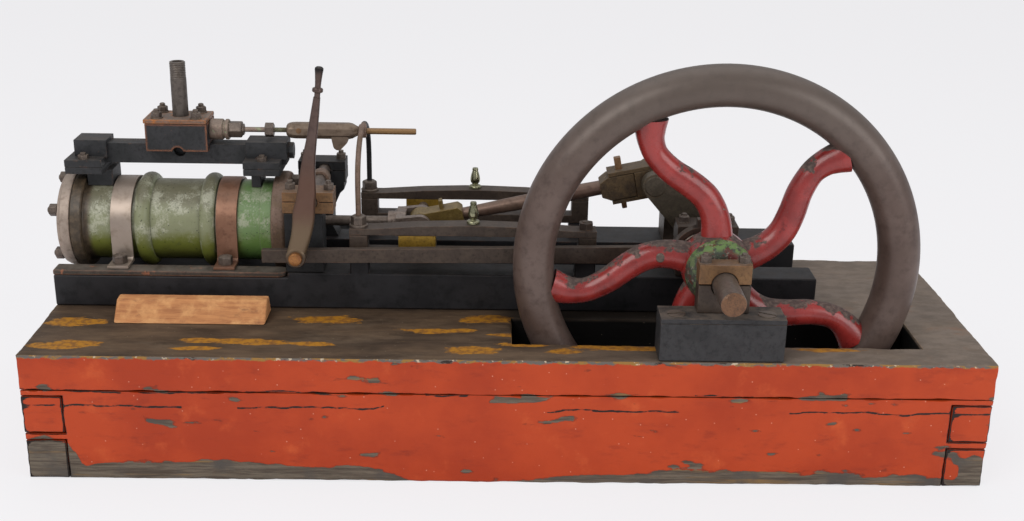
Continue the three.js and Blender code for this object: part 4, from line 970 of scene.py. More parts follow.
for node, steps in BOARDS.items():
    low, high = span(node)
    shape, outward = gridded(node, steps)
    fields = {"bare": flaking(shape.points), "crack": cracking(shape.points)}
    flat = np.abs(outward).sum(1) < 2
    sunk = np.clip(fields["bare"] / 1.5, 0, 1) * 0.35 * flat
    skins, slot = [ORANGE], "orange_paint"
    if node == "base_top_plank":
        upper = shape.points[:, 2] > high.z - 0.5
        fields["ochre"] = np.where(upper, ochre_patches(shape.points), -3.0)
        sunk = sunk * ~upper
        shape.skins = plank_skins(shape, upper, low, high)
        skins, slot = [ORANGE, PLANK], "dark_wood"
    shape.points = weathered(shape.points - outward * sunk[:, None], outward, EDGE_WEAR)
    piece(node.replace("base_", "board_"), shape, skins, "base", [node], fields)

low, high = span("loose_wood_wedge")
wedge_outline = [(low.y, low.z), (high.y, low.z), (high.y - 8, high.z - 2), (high.y - 19, high.z - 2.6)]
wedge_shape = plate("x", wedge_outline, low.x, high.x).softened(1.6, 3)
piece("loose_wedge", wedge_shape, BARE_WOOD_SKIN, "base", ["loose_wood_wedge"])
dress("engine_bed", BED, 1.6)

# ---- cylinder ---------------------------------------------------------------------------------
low, high = span("cylinder_barrel")
AXIS_Y = middle("piston_rod").y
AXIS_Z = middle("piston_rod").z
ENGINE = (0, AXIS_Y, AXIS_Z)
BORE = 27
BARREL_RADIUS = 38.4
REAR_FLANGE_RADIUS = (high.y - low.y) / 2
FRONT_FLANGE_RADIUS = 40
FLANGE = 10.5
MOULDING_RADIUS = 6.4
MOULDINGS = (-342, -282)


def barrel_profile():
    outer = [(REAR_FLANGE_RADIUS - 1, low.x), (REAR_FLANGE_RADIUS, low.x + 1),
             (REAR_FLANGE_RADIUS, low.x + FLANGE - 1), (REAR_FLANGE_RADIUS - 1, low.x + FLANGE),
             (BARREL_RADIUS + 1.5, low.x + FLANGE), (BARREL_RADIUS, low.x + FLANGE + 2)]
    for x in MOULDINGS:
        outer.append((BARREL_RADIUS, x - 9))
        for step in range(11):
            turn = math.pi * step / 10
            outer.append((BARREL_RADIUS - 0.2 + MOULDING_RADIUS * math.sin(turn), x - 7.3 * math.cos(turn)))
        outer.append((BARREL_RADIUS, x + 9))
    outer += [(BARREL_RADIUS, high.x - FLANGE - 1), (FRONT_FLANGE_RADIUS, high.x - FLANGE),
              (FRONT_FLANGE_RADIUS, high.x), (BORE, high.x), (BORE, low.x)]
    return outer


piece("barrel", lathe("x", barrel_profile(), ENGINE, 96, ring=True), GREEN, "base",
      ["cylinder_barrel"])
STUD_CIRCLE = 38
STUD_ANGLES = (152, 224, 296, 8, 80)


def ring_of_nuts(base, direction):
    nuts = []
    for angle in STUD_ANGLES:
        turn = math.radians(angle)
        nuts.append(nut("x", 12, 7.5, base, AXIS_Y + STUD_CIRCLE * math.cos(turn),
                        AXIS_Z + STUD_CIRCLE * math.sin(turn), direction, 1.8))
    return total(nuts).skinned(1)


low, high = span("rear_cylinder_cover")
rear_face = low.x + 9.3
cover = lathe("x", [
    (0, rear_face), (REAR_FLANGE_RADIUS - 3.5, rear_face), (REAR_FLANGE_RADIUS - 1.8, rear_face + 0.8),
    (REAR_FLANGE_RADIUS - 1.2, rear_face + 3), (REAR_FLANGE_RADIUS - 0.3, rear_face + 3.6),
    (REAR_FLANGE_RADIUS, rear_face + 5), (REAR_FLANGE_RADIUS, high.x - 5.5),
    (REAR_FLANGE_RADIUS - 0.5, high.x - 5), (BORE - 0.3, high.x - 5), (BORE - 0.3, high.x), (0, high.x),
], ENGINE, 96)
piece("rear_cover", cover + ring_of_nuts(rear_face, -1), [REAR, NUT], "base",
      ["rear_cylinder_cover"])

low, high = span("front_cylinder_cover")
front_face = low.x + 5
outer_face = front_face + 14
radius = 47
hole = 5.6
cover = lathe("x", [
    (hole, low.x), (BORE - 0.3, low.x), (BORE - 0.3, front_face), (radius - 2, front_face),
    (radius - 0.6, front_face + 0.8), (radius, front_face + 2.4), (radius, outer_face - 4),
    (radius - 0.9, outer_face - 1.4), (radius - 3, outer_face), (17.5, outer_face),
    (16, outer_face + 1.5), (16, outer_face + 9), (15, outer_face + 10), (9.5, outer_face + 10),
    (9.5, front_face + 4), (hole, front_face + 4),
], ENGINE, 96, ring=True)
piece("front_cover", cover + ring_of_nuts(outer_face, 1), [CASTING, NUT], "base",
      ["front_cylinder_cover"])
dress("piston_rod_gland", BRONZE, 0.6)

for side in ("rear", "front"):
    low, high = span(f"{side}_cylinder_band")
    inner = BARREL_RADIUS + 0.3
    outer = inner + 2.4
    foot_top = low.z + 2.7
    outline = [(low.y, low.z), (AXIS_Y - inner, low.z), (AXIS_Y - inner, AXIS_Z)]
    outline += arc(AXIS_Y, AXIS_Z, inner, 180, 0, 56)[1:]
    outline += [(AXIS_Y + inner, low.z), (high.y, low.z), (high.y, foot_top), (AXIS_Y + outer + 2, foot_top),
                (AXIS_Y + outer, foot_top + 2)]
    outline += arc(AXIS_Y, AXIS_Z, outer, 0, 180, 56)
    outline += [(AXIS_Y - outer, foot_top + 2), (AXIS_Y - outer - 2, foot_top), (low.y, foot_top)]
    strap = plate("x", outline, low.x, high.x).softened(0.5, 2)
    middle_x = (low.x + high.x) / 2
    bolts = total(nut("z", 14, 8, foot_top, middle_x, AXIS_Y + way * 51, 1, 0.8) for way in (-1, 1))
    piece(f"{side}_band", strap + bolts.skinned(1), [BAND if side == "rear" else FRONT_BAND, NUT], "base",
          [f"{side}_cylinder_band"])

low, high = span("near_sole_plate")
sole = plate("z", [(low.x, low.y), (high.x - 9, low.y)] + arc(high.x - 9, low.y + 9, 9, -90, 90, 12)
             + [(low.x, high.y)], low.z, high.z).softened(1.2, 2)
piece("sole_plate", sole, SOLE, "base", ["near_sole_plate"])

# ---- steam side -------------------------------------------------------------------------------
for node, skin in (("rear_port_neck", BLACK), ("front_port_neck", BLACK), ("valve_chest", CHEST)):
    dress(node, skin, 1.0)


def top_bolt(point):
    return point.z > beam_plate_top + 0.3 and abs(point.y - AXIS_Y) > 13.5


low, high = span("steam_passage_beam")
beam_plate_top = low.z + 6.5
dress("steam_passage_beam", [BLACK, NUT], 1.0, [(top_bolt, 1)])

low, high = span("valve_chest_cover")
cover_top = low.z + 4.0
pipe_middle = middle("steam_pipe")
pipe_low, pipe_high = span("steam_pipe")
pipe_radius = (pipe_high.x - pipe_low.x) / 2
studs = total(
    nut("z", 10, 6, cover_top, (low.x + high.x + 1) / 2 + sx * 18, AXIS_Y + sy * 12, 1, 3, washer=5.6)
    for sx in (-1, 1) for sy in (-1, 1))
slab = cut(block(low.x, high.x, low.y, high.y, low.z, cover_top).softened(0.9, 2),
           rod("z", pipe_radius + 0.3, 0, 9, (pipe_middle.x, AXIS_Y, low.z - 2), 48))
piece("chest_cover", slab + studs.skinned(1), [COVER, NUT], "base", ["valve_chest_cover"])


def threaded_pipe():
    """A plain pipe with a cut thread at its top."""
    sides, pitch, bore = 48, 1.6, 4.5
    thread_start = pipe_high.z - 17
    levels = list(np.linspace(pipe_low.z, thread_start, 8))[:-1]
    levels += list(np.arange(thread_start, pipe_high.z - 0.8, 0.27)) + [pipe_high.z - 0.4, pipe_high.z]
    rings = []
    for z in levels:
        ring = []
        for k in range(sides):
            turn = 2 * math.pi * k / sides
            r = pipe_radius
            if z >= thread_start:
                wave = ((z / pitch + k / sides) % 1)
                r -= 0.5 * (1 - abs(2 * wave - 1)) * min(1, (z - thread_start) / 3)
            if z > pipe_high.z - 0.3:
                r = pipe_radius - 0.9
            ring.append((pipe_middle.x + r * math.cos(turn), AXIS_Y + r * math.sin(turn), z))
        rings.append(ring)
    for z in (pipe_high.z, pipe_low.z):
        rings.append([(pipe_middle.x + bore * math.cos(2 * math.pi * k / sides),
                       AXIS_Y + bore * math.sin(2 * math.pi * k / sides), z) for k in range(sides)])
    made = loft(rings)
    made.faces = made.faces[2:]
    count = len(made.points)
    for k in range(sides):
        j = (k + 1) % sides
        made.faces.append((count - sides + k, count - sides + j, j, k))
    made.skins = [0] * len(made.faces)
    return made


piece("threaded_steam_pipe", threaded_pipe(), PIPE, "base", ["steam_pipe"])

low, high = span("valve_stuffing_box")
VALVE_Z = middle("valve_stuffing_box").z
valve_line = (0, AXIS_Y, VALVE_Z)
collar = low.x + 6.3
hole = 3.0
gland = lathe("x", [
    (hole, low.x), (8, low.x), (8, collar), (9.3, collar), (9.8, collar + 1), (9.8, collar + 11),
    (9.2, collar + 12), (8.4, collar + 12.2), (8.4, collar + 14), (9.6, collar + 14.4),
    (9.6, collar + 16.8), (9.0, collar + 17.4), (hole, collar + 17.4),
], valve_line, 64, ring=True)
hexagon = lathe("x", [(hole, collar + 17), (8, collar + 17), (8, high.x - 2.4), (6.9, high.x - 1.6),
                      (5.6, high.x - 1.6), (5.6, high.x), (hole, high.x)], valve_line, 6, ring=True)
collar_end = hexagon.softened(0.3, 1)
piece("valve_gland", gland + collar_end.skinned(1), [GLAND, NUT], "base", ["valve_stuffing_box"])

# ---- valve gear ---------------------------------------------------------------------------------
dress("slide_valve", BRONZE, 0.6)
low, high = span("valve_rod")
rod_radius = 2.4
LOCKNUT_START, LOCKNUT_END = -230, -222
locknut = lathe("x", [(0, LOCKNUT_START), (7, LOCKNUT_START), (7, LOCKNUT_END), (0, LOCKNUT_END)],
                valve_line, 6, phase=0.5).softened(0.6, 2)
thread = []
for step in range(60):
    x = LOCKNUT_END + step * 0.33
    thread.append((rod_radius - (0.35 if step % 2 else 0.0), x))
spindle = lathe("x", [(0, low.x), (rod_radius, low.x), (rod_radius, LOCKNUT_END)] + thread
                + [(rod_radius - 0.3, high.x), (0, high.x)], valve_line, 24)
piece("valve_spindle", spindle + locknut.skinned(1), [GLAND, NUT], "valve_gear", ["valve_rod"])

low, high = span("valve_link")
PIN_LINE = (-162, 140.5)


def link_shape():
    """An eight-sided bar rounded at its left end and tapering to a round guide rod."""
    def section(x, size, squareness, sides=24):
        ring = []
        for k in range(sides):
            turn = 2 * math.pi * (k + 0.5) / sides
            c, s = math.cos(turn), math.sin(turn)
            flat = size / max(abs(c), abs(s), (abs(c) + abs(s)) * math.sqrt(0.5))
            r = size * (1 - squareness) + flat * squareness
            ring.append((x, AXIS_Y + r * c, VALVE_Z + r * s))
        return ring

    rings = []
    for x, size, squareness in (
            (low.x, 4.6, 0), (low.x + 0.8, 5.8, 0), (low.x + 2.4, 6.8, 0.3), (low.x + 5, 7.1, 0.9),
            (low.x + 9, 7.3, 1), (-152, 7.3, 1), (-148.6, 6.9, 0.6), (-144, 4.7, 0), (-139.6, 3.1, 0),
            (-138, 2.95, 0), (high.x - 1, 2.95, 0), (high.x, 2.4, 0)):
        rings.append(section(x, size, squareness))
    return loft(rings)


lug = plate("y", arm(PIN_LINE[0], PIN_LINE[1], 4.6, PIN_LINE[0] + 2, VALVE_Z - 6, 8),
            AXIS_Y - 5.9, AXIS_Y + 4.9).softened(0.6, 2)
pin = lathe("y", [(0, AXIS_Y - 5.5), (2.5, AXIS_Y - 5.5), (2.5, high.y - 0.4), (2.2, high.y), (0, high.y)],
            (PIN_LINE[0], 0, PIN_LINE[1]), 24)
side_pin = lathe("y", [(0, AXIS_Y - 7.35), (2.6, AXIS_Y - 7.35), (2.2, AXIS_Y - 7.39), (0, AXIS_Y - 7.39)],
                 (low.x + 12, 0, VALVE_Z + 1), 20)
bore_end = rod("x", 2.6, low.x + 0.5, low.x + 10, valve_line, 20)
link_body = cut(link_shape(), bore_end)
piece("link_bar", link_body + lug + (pin + side_pin).skinned(1), [LINK, BRONZE], "valve_gear",
      ["valve_link"])

# ---- rocker -------------------------------------------------------------------------------------
ROCK = joint_axis("hand_lever_rock")
low, high = span("hand_lever")
lever_mid = low.y + (high.y - low.y) / 2
half_thick = 4.5
pin_low, pin_high = span("lever_pin")
pin_x, pin_z = (pin_low.x + pin_high.x) / 2, (pin_low.z + pin_high.z) / 2
BLADE = [
    (pin_z + 3, pin_x, 8.2), (79, -187.2, 8.8), (91, -184.8, 9.6), (101, -183.7, 9.9), (112, -181.8, 8.7),
    (122, -180.3, 8.2), (146, -178.1, 6.2), (170, -174.2, 4.6), (190, -171, 3.8), (206, -168.6, 3),
]


def lever_blade():
    """A flat blade, thickest at its middle and fined away towards the grip."""
    path = smooth_path([(x, lever_mid, z) for z, x, half in BLADE], 6)
    halves = smooth_path([(half, 0, 0) for z, x, half in BLADE], 6)
    sizes = []
    for i, half in enumerate(halves):
        share = i / (len(halves) - 1)
        sizes.append((half.x, half_thick - 0.1 - 1.9 * max(0, share - 0.45)))
    return bar(path, sizes, (0, 1, 0), 24, 0.72)


boss = lathe("y", [(0, -half_thick), (8.2, -half_thick), (9, -half_thick + 0.8), (9, half_thick - 0.8),
                   (8.2, half_thick), (0, half_thick)], (pin_x, lever_mid, pin_z), 48)
grip_profile = [(0, -4), (2.5, -4), (2.6, 2.5), (4.2, 2.8), (4.7, 3.4), (4.7, 5.4), (4.2, 6.1), (2.6, 6.8),
                (2.6, 9), (2.9, 14), (3.4, 19.5), (3.8, 22.4), (3.6, 23.8), (2.4, 24.8), (0, 25)]
grip = lathe("z", grip_profile, (0, 0, 0), 32).tilted(6).moved(-168.2, lever_mid, 208)
blade = cut(lever_blade(), rod("y", 6.3, -1.5, 9, (ROCK.x, lever_mid, ROCK.z), 32))
eye = cut(boss, rod("y", 4.3, -9, 9, (pin_x, lever_mid, pin_z), 32))
piece("lever_with_grip", blade + eye + grip, LEVER, "rocker", ["hand_lever"])
pin = lathe("y", [
    (0, pin_low.y), (4.2, pin_low.y), (5.7, pin_low.y + 0.7), (6.2, pin_low.y + 2), (6.2, pin_low.y + 4.6),
    (4, pin_low.y + 4.7), (4, pin_high.y), (0, pin_high.y)], (pin_x, 0, pin_z), 48)
piece("bright_lever_pin", pin, PIN_BRASS, "rocker", ["lever_pin"])
low, high = span("rocker_shaft")
shaft = eased_rod("y", 6, low.y, high.y, (1, 1), (ROCK.x, 0, ROCK.z))
piece("rocker_cross_shaft", shaft, STEEL, "rocker", ["rocker_shaft"])
low, high = span("rocker_arm")
ARM_LEAN = math.degrees(math.atan2(PIN_LINE[0] - ROCK.x, PIN_LINE[1] - ROCK.z))
arm_reach = math.hypot(PIN_LINE[0] - ROCK.x, PIN_LINE[1] - ROCK.z)
slot_radius = 3.3
rocker_arm = cut(
    plate("y", arm(0, 0, 8.6, 0, arm_reach - 1, 4.8), low.y + 2, high.y - 3).softened(0.6, 2)
    + lathe("y", [(0, low.y), (8.4, low.y), (9, low.y + 0.6), (9, high.y - 0.6), (8.4, high.y), (0, high.y)],
            sides=48),
    plate("y", arm(0, arm_reach - 6.2, slot_radius - 0.01, 0, arm_reach + 0.4, slot_radius), low.y - 1,
          high.y + 1),
    rod("y", 6.3, low.y - 1, high.y + 1, sides=40))
piece("slim_rocker_arm", rocker_arm.tilted(ARM_LEAN).moved(ROCK.x, 0, ROCK.z), CASTING, "rocker",
      ["rocker_arm"])
dress("near_rocker_pedestal", PEDESTAL, 1.0)


def above(height):
    """Picks a node's faces over a height, which are its nuts and studs."""
    return [(lambda at: at.z > height, 1)]


ROCKER_CAP_TOP = 112.2
dress("near_rocker_bearing", [BRONZE, NUT], 0.8, above(ROCKER_CAP_TOP))
dress("far_rocker_pedestal", [PEDESTAL, NUT], 0.8, above(ROCKER_CAP_TOP))

# ---- slide bars, hoop and oil cups ----------------------------------------------------------------
for side in ("near", "far"):
    dress(f"{side}_upper_slide_bar", DARK_IRON, 0.7)
    dress(f"{side}_lower_slide_bar", DARK_IRON, 0.7)
    low, high = span(f"{side}_oil_cup")
    at = ((low.x + high.x) / 2, (low.y + high.y) / 2, low.z)
    cup = lathe("z", [
        (0, 0), (6, 0), (6, 1.6), (5.4, 2.4), (3.6, 3), (3.0, 3.8), (3.2, 4.6), (4.4, 5.8), (4.8, 7.4),
        (4.8, 9.6), (4.3, 12.4), (3.5, 15.2), (3.0, 16.8), (2.7, 17.6), (3.1, 18.4), (2.7, 20.2), (0, 20.5),
    ], at, 40)
    piece(f"{side}_oiler", cup, PALE_BRASS, "base", [f"{side}_oil_cup"])

low, high = span("valve_guide_hoop")
hoop_x = (low.x + high.x) / 2
near_y, far_y = low.y + 8.5, high.y - 8.5
shoulder, crown = 118, high.z - 3.3
points = [(hoop_x, near_y, low.z + 2), (hoop_x, near_y, 100)]
for step in range(9):
    turn = math.pi * (1 - step / 8)
    points.append((hoop_x, AXIS_Y + (far_y - near_y) / 2 * math.cos(turn),
                   shoulder + (crown - shoulder) * math.sin(turn)))
points += [(hoop_x, far_y, 100), (hoop_x, far_y, low.z + 2)]
hoop = bar(smooth_path(points, 7), (2.5, 2.5), (1, 0, 0), 16)
feet = total(
    lathe("z", [(0, 0), (8.5, 0), (8.5, 1.4), (7.8, 2), (0, 2)], (hoop_x, y, low.z), 32)
    + lathe("z", [(0, 1.5), (7.4, 1.5), (7.4, 8.8), (6.2, 10), (0, 10)],
            (hoop_x, y, low.z), 6).softened(0.4, 1)
    for y in (near_y, far_y))
eye = lathe("x", [(3.6, -3.4), (5.8, -3.4), (6.4, -2.6), (6.4, 2.6), (5.8, 3.4), (3.6, 3.4)],
            (hoop_x, AXIS_Y, VALVE_Z), 40, ring=True)
eye_hole = rod("x", 3.7, -9, 9, (hoop_x, AXIS_Y, VALVE_Z), 32)
hoop = cut(hoop, eye_hole)
skin_by_face(hoop, lambda at: at[1] > AXIS_Y + 8, inside=2)
piece("guide_hoop", hoop + eye + feet.skinned(1), [CASTING, NUT, PEDESTAL], "base",
      ["valve_guide_hoop"])

# ---- running gear -----------------------------------------------------------------------------------
for node, skin, slot in (("piston", STEEL, "steel"), ("crosshead", FORK, "brown_iron"),
                         ("big_end_brasses", BIG_END, "brass")):
    dress(node, skin, 0.6)
for side in ("near", "far"):
    low, high = span(f"{side}_crosshead_slipper")
    slipper = block(low.x, high.x, low.y, high.y, low.z, high.z).softened(0.6, 2)
    piece(f"{side}_slipper", slipper, BRASS, "crosshead", [f"{side}_crosshead_slipper"])
low, high = span("piston_rod")
rod_shape = eased_rod("x", 5, low.x, high.x, (0.4, 0.6), ENGINE)
piece("polished_piston_rod", rod_shape, STEEL, "crosshead", ["piston_rod"])
low, high = span("gudgeon_pin")
GUDGEON = ((low.x + high.x) / 2, 0, AXIS_Z)
# Its ends are let into the slippers.
seat = 16.8
gudgeon = rod("y", 5, low.y + seat, high.y - seat, GUDGEON, 48)
piece("round_gudgeon_pin", gudgeon, STEEL, "crosshead", ["gudgeon_pin"])

CRANK_PIN_AT = middle("crank_pin")
ROD_LENGTH = math.hypot(CRANK_PIN_AT.x - GUDGEON[0], CRANK_PIN_AT.z - GUDGEON[2])
ROD_ANGLE = math.degrees(math.atan2(CRANK_PIN_AT.z - GUDGEON[2], CRANK_PIN_AT.x - GUDGEON[0]))


def on_rod(shape):
    """From along the connecting rod to its place."""
    return shape.tilted(-ROD_ANGLE).moved(GUDGEON[0], AXIS_Y, GUDGEON[2])


stub_start, stub_end = ROD_LENGTH - 50, ROD_LENGTH - 17
shank = lathe("x", [(0, 38), (5.6, 38), (5.7, 44), (6.0, 60), (6.8, 90), (7.2, 120), (7.2, 150),
                    (6.9, stub_start - 4), (6.9, stub_start + 2), (0, stub_start + 2)], sides=40)
pin_hole = rod("y", 5.6, -30, 30, sides=40)
small_end = cut(
    plate("y", arc(0, 0, 11.4, 60, 300, 32)
          + [(8, -9.9), (38, -9.9), (41.8, -6), (41.8, 6), (38, 9.9), (8, 9.9)],
          -10.9, 10.9).softened(0.7, 2), pin_hole)
key = block(21, 24.5, -5, 5, -16, 18).softened(0.5, 1)
stub = plate("y", [(stub_start, -7), (stub_start + 8, -11.4), (stub_end, -11.4), (stub_end, 11.4),
                   (stub_start + 8, 11.4), (stub_start, 7)], -11.9, 11.9).softened(0.8, 2)
key_room = block(ROD_LENGTH - 33, ROD_LENGTH - 26, -4, 4, -30, 30)
stub = cut(stub, key_room) + block(ROD_LENGTH - 32, ROD_LENGTH - 29, -3.9, 3.9, -10.9, 10.9)
piece("rod_with_small_end", on_rod(shank + (small_end + key).skinned(1) + stub.skinned(2)),
      [ROD, SMALL_END, BIG_END], "connecting_rod",
      ["connecting_rod"])
strap_radius, brass_half = 17.4, 11.8
strap = cut(
    plate("y", arc(ROD_LENGTH, 0, strap_radius, -60, 60, 24)
          + [(ROD_LENGTH, 15.4), (ROD_LENGTH - 41, 15.4), (ROD_LENGTH - 41, -15.4), (ROD_LENGTH, -15.4)],
          -12, 12),
    plate("y", arc(ROD_LENGTH, 0, brass_half + 0.3, -90, 90, 24)
          + [(ROD_LENGTH - 43, brass_half + 0.3), (ROD_LENGTH - 43, -brass_half - 0.3)], -13, 13))
cotter = plate("y", [(ROD_LENGTH - 32.7, -23.8), (ROD_LENGTH - 28, -23.8), (ROD_LENGTH - 26.3, 26.8),
                     (ROD_LENGTH - 32.7, 26.8)], -3.7, 3.7).softened(0.5, 1)
piece("strap_and_cotter", on_rod(strap + cotter.skinned(1)), [BIG_END, BRONZE], "connecting_rod",
      ["big_end_strap"])
low, high = span("crank_pin")
pin = eased_rod("y", 8.5, low.y, high.y, (0.5, 0.5), (CRANK_PIN_AT.x, 0, CRANK_PIN_AT.z))
piece("round_crank_pin", pin, STEEL, "connecting_rod", ["crank_pin"])

# ---- crankshaft, flywheel and eccentric ------------------------------------------------------------
SHAFT = joint_axis("crank_spin")
WEB_THICKNESS = 14


def crank_web(start):
    outline = arm(SHAFT.x, SHAFT.z, 17, CRANK_PIN_AT.x, CRANK_PIN_AT.z, 12)
    return plate("y", outline, start, start + WEB_THICKNESS).softened(0.9, 2)


low, high = span("crankshaft_near_half")
web_low = high.y - WEB_THICKNESS
shaft_radius = 11
near_shaft = lathe("y", [(0, low.y), (9.4, low.y), (10.6, low.y + 0.7), (shaft_radius, low.y + 2),
                         (shaft_radius, web_low + 2), (0, web_low + 2)], (SHAFT.x, 0, SHAFT.z), 64)
pin_end = lathe("y", [(0, web_low - 1), (8.6, web_low - 1), (9.4, web_low - 0.5), (10, web_low + 0.2),
                      (10, web_low + 2), (0, web_low + 2)], (CRANK_PIN_AT.x, 0, CRANK_PIN_AT.z), 48)
end_face = low.y
skin_by_face(near_shaft, lambda at: at[1] < end_face + 0.9)
near_half = near_shaft + (crank_web(web_low) + pin_end).skinned(2)
piece("near_crank_half", near_half, [STEEL, SHAFT_END, WEB], "crankshaft", ["crankshaft_near_half"])
low, high = span("crankshaft_far_half")
far_shaft = lathe("y", [(0, low.y + 12), (shaft_radius, low.y + 12), (shaft_radius, high.y - 2),
                        (9.6, high.y), (0, high.y)], (SHAFT.x, 0, SHAFT.z), 64)
piece("far_crank_half", far_shaft + crank_web(low.y).skinned(1), [STEEL, WEB], "crankshaft",
      ["crankshaft_far_half"])

low, high = span("flywheel")
WHEEL_Y = 65
RIM_RADIAL, RIM_AXIAL = 18.2, 19.9
RIM_RADIUS = high.z - SHAFT.z - RIM_RADIAL
wheel_centre = (SHAFT.x, WHEEL_Y, SHAFT.z)
profile = []
for step in range(36):
    turn = 2 * math.pi * step / 36
    c = math.cos(turn)
    power = 0.8 if c < 0 else 1
    bulge = math.copysign(abs(c) ** power, c)
    profile.append((RIM_RADIUS + (RIM_RADIAL - 0.1) * bulge, RIM_AXIAL * math.sin(turn)))
rim = lathe("y", profile, wheel_centre, 180, ring=True)
piece("wheel_rim", rim, RIM, "crankshaft", ["flywheel"])

hub_profile = [(11.4, -29), (17, -29), (20, -28.6), (24, -27.1), (27.5, -23.5), (29.9, -17.5), (31.2, -8),
               (31.4, 0), (30.8, 8), (29, 15), (25, 20.5), (19, 24), (15, 25), (11.4, 25)]
hub = lathe("y", hub_profile, wheel_centre, 64, ring=True)
boss_depth = WHEEL_Y - 19
skin_by_face(hub, lambda at: at[1] < boss_depth)
SPOKES, FIRST_SPOKE = 5, 115.3


def spoke(angle):
    """It leaves the hub nearly straight out and swings over to meet the rim. Each station is
    (distance from the shaft, degrees ahead, half width, half depth)."""
    stations = [(15, -23, 14, 14), (30, -22.5, 13.8, 13.6), (42, -21, 12.9, 12.6), (54, -17.5, 12.3, 12),
                (66, -12.4, 12.2, 11.6), (80, -5, 12, 11.4), (97, 2, 11.4, 11.2), (115, 4.8, 10.8, 11.2),
                (128, 4.2, 11.6, 11.8), (138, 2.6, 13.4, 12.8), (147, 0.8, 15.4, 13.6)]
    points = []
    for reach, ahead, across, deep in stations:
        turn = math.radians(angle + ahead)
        points.append((SHAFT.x + reach * math.cos(turn), WHEEL_Y, SHAFT.z + reach * math.sin(turn)))
    path = smooth_path(points, 5)
    halves = smooth_path([(across, deep, 0) for _, _, across, deep in stations], 5)
    sizes = [(half.x, half.y) for half in halves]
    return bar(path, sizes, (0, 1, 0), 28)


spokes = total(spoke(FIRST_SPOKE + 360 / SPOKES * n) for n in range(SPOKES))
# A turned plug stands in the front of the spoke that points left.
plug_turn, plug_reach = math.radians(FIRST_SPOKE + 360 / SPOKES - 18.6), 52
plug = lathe("y", [(0, -12.2), (3.6, -12.2), (4.4, -11.4), (4.4, -6), (0, -6)],
             (SHAFT.x + plug_reach * math.cos(plug_turn), WHEEL_Y,
              SHAFT.z + plug_reach * math.sin(plug_turn)), 32)
piece("wheel_spokes", spokes + plug.skinned(1), [RED, NUT], "crankshaft", ["flywheel"])
piece("wheel_hub", hub, [RED, HUB], "crankshaft", ["flywheel"])
low, high = span("eccentric_sheave")
sheave_x, sheave_z = (low.x + high.x) / 2, (low.z + high.z) / 2
sheave_radius = (high.x - low.x) / 2
sheave = cut(
    eased_rod("y", sheave_radius, low.y, high.y, (0.6, 0.6), (sheave_x, 0, sheave_z), 72),
    rod("y", shaft_radius + 0.3, low.y - 2, high.y + 2, (SHAFT.x, 0, SHAFT.z), 48))
piece("round_sheave", sheave, STEEL, "crankshaft", ["eccentric_sheave"])
dress("eccentric_strap_and_rod", DARK_IRON, 0.7)

# ---- shaft bearings -----------------------------------------------------------------------------------
dress("front_bearing_housing", DARK_IRON, 1.0)
dress("front_bearing_cap", [BRONZE, NUT], 1.0, above(83.2))
dress("near_main_bearing_housing", DARK_IRON, 1.0)
dress("near_main_bearing_cap", [DARK_IRON, NUT], 1.0, above(84.2))
dress("far_main_bearing", [DARK_IRON, NUT], 1.0, above(78.2))

low, high = span("front_bearing_block")
block_top = high.z - 0.8
seam = block_top - 4.5
solid = (block(low.x, high.x, low.y, high.y, low.z, seam).softened(1.0, 2)
         + block(low.x, high.x, low.y, high.y, seam + 0.1, block_top).softened(0.8, 2))
screws = Shape(np.zeros((0, 3)), [])
for dx, slot_turn in ((-40, 12), (38, -28)):
    centre = (SHAFT.x + dx, low.y + 12.5, block_top)
    disc = lathe("z", [(0, -3), (8, -3), (8, 0.5), (7.5, 0.8), (0, 0.8)], centre, 40)
    slot = block(-9, 9, -0.8, 0.8, 0, 3).tilted(slot_turn, axis="Z").moved(*centre)
    screws = screws + cut(disc, slot)
piece("bearing_block", solid + screws.skinned(1), [BLOCK_TOP, NUT], "base", ["front_bearing_block"])

# ---- camera, floor and light --------------------------------------------------------------------------
camera = bpy.data.objects.new("camera", bpy.data.cameras.new("camera"))
bpy.context.scene.collection.objects.link(camera)
CAMERA_PLACE = (-17.64, -1023.93, 464.09)
CAMERA_TURN = (69.964, -0.982, -0.630)
camera.location = CORNER + Vector(CAMERA_PLACE) * MM
camera.rotation_euler = [math.radians(angle) for angle in CAMERA_TURN]
camera.data.lens = 46.228
camera.data.sensor_width = 36
bpy.context.scene.camera = camera


PAPER = "f3f2f4"


def paper(name, colour, glow):
    """Pale paper. It glows a little towards the camera, but not inside the engine's open box."""
    skin = Skin(name)
    low, high = plank_span
    inside = 1.0
    for axis in (0, 1):
        for edge, way in ((low[axis], 4), (high[axis], -4)):
            inside = skin.times(inside, skin.band(skin.height(axis), edge, edge + way))
    glow = skin.times(skin.math("SUBTRACT", 1.0, inside), glow)
    shade = rgb(colour)
    lit = skin.node("ShaderNodeBsdfPrincipled", {"Base Color": shade, "Roughness": 0.9}).outputs[0]
    even = skin.node("ShaderNodeEmission", {"Color": shade, "Strength": 1.0}).outputs[0]
    seen = skin.node("ShaderNodeLightPath").outputs["Is Camera Ray"]
    mixed = skin.node("ShaderNodeMixShader", {0: skin.times(seen, glow), 1: lit, 2: even}).outputs[0]
    skin.node("ShaderNodeOutputMaterial", {"Surface": mixed})
    return skin.material


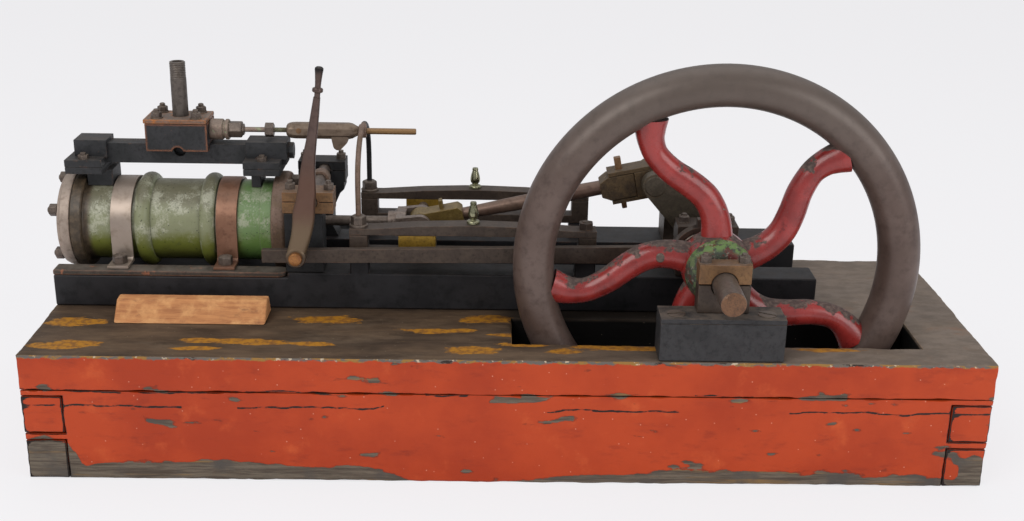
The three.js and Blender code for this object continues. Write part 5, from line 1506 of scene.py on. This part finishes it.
# A flat sheet with nothing behind it, so that the engine is in sight from every side.
floor_mesh = bpy.data.meshes.new("floor")
FLOOR_REACH = 9000
corners = [CORNER + Vector((x * FLOOR_REACH, y * FLOOR_REACH, BASE_FOOT)) * MM
           for x, y in ((-1, -1), (1, -1), (1, 1), (-1, 1))]
floor_mesh.from_pydata([tuple(corner) for corner in corners], [], [(0, 1, 2, 3)])
floor = bpy.data.objects.new("floor", floor_mesh)
bpy.context.scene.collection.objects.link(floor)
floor_mesh.materials.append(paper("paper", PAPER, 0.85))


def soft_light(name, place, aim, size, power, colour=(1, 1, 1)):
    """A rectangular lamp. Places and sizes are in metres and the power is in watts."""
    data = bpy.data.lights.new(name, "AREA")
    data.shape = "RECTANGLE"
    data.size, data.size_y = size
    data.energy = power
    data.color = colour
    made = bpy.data.objects.new(name, data)
    bpy.context.scene.collection.objects.link(made)
    made.location = place
    made.rotation_euler = (Vector(aim) - Vector(place)).to_track_quat("-Z", "Y").to_euler()


soft_light("key", (-1.1, -1.3, 1.7), (0, 0, 0.15), (1.4, 1.2), 22, (1.0, 0.985, 0.96))
soft_light("fill", (1.5, -1.2, 0.9), (0, 0, 0.1), (1.2, 1.2), 13)
soft_light("top", (0.1, 0.5, 2.0), (0, 0, 0.1), (2.2, 1.6), 10)
world = bpy.data.worlds.new("studio")
bpy.context.scene.world = world
world.use_nodes = True
# Soft sky light on the engine, and plain pale paper where the camera looks past the floor.
sky = world.node_tree
lighting = sky.nodes["Background"]
lighting.inputs[0].default_value = (0.95, 0.96, 1.0, 1)
lighting.inputs[1].default_value = 0.54
backdrop = sky.nodes.new("ShaderNodeBackground")
backdrop.inputs[0].default_value = rgb(PAPER)
chooser = sky.nodes.new("ShaderNodeMixShader")
eye_ray = sky.nodes.new("ShaderNodeLightPath")
sky.links.new(eye_ray.outputs["Is Camera Ray"], chooser.inputs[0])
sky.links.new(lighting.outputs[0], chooser.inputs[1])
sky.links.new(backdrop.outputs[0], chooser.inputs[2])
sky.links.new(chooser.outputs[0], sky.nodes["World Output"].inputs[0])
bpy.context.scene.view_settings.view_transform = "Standard"
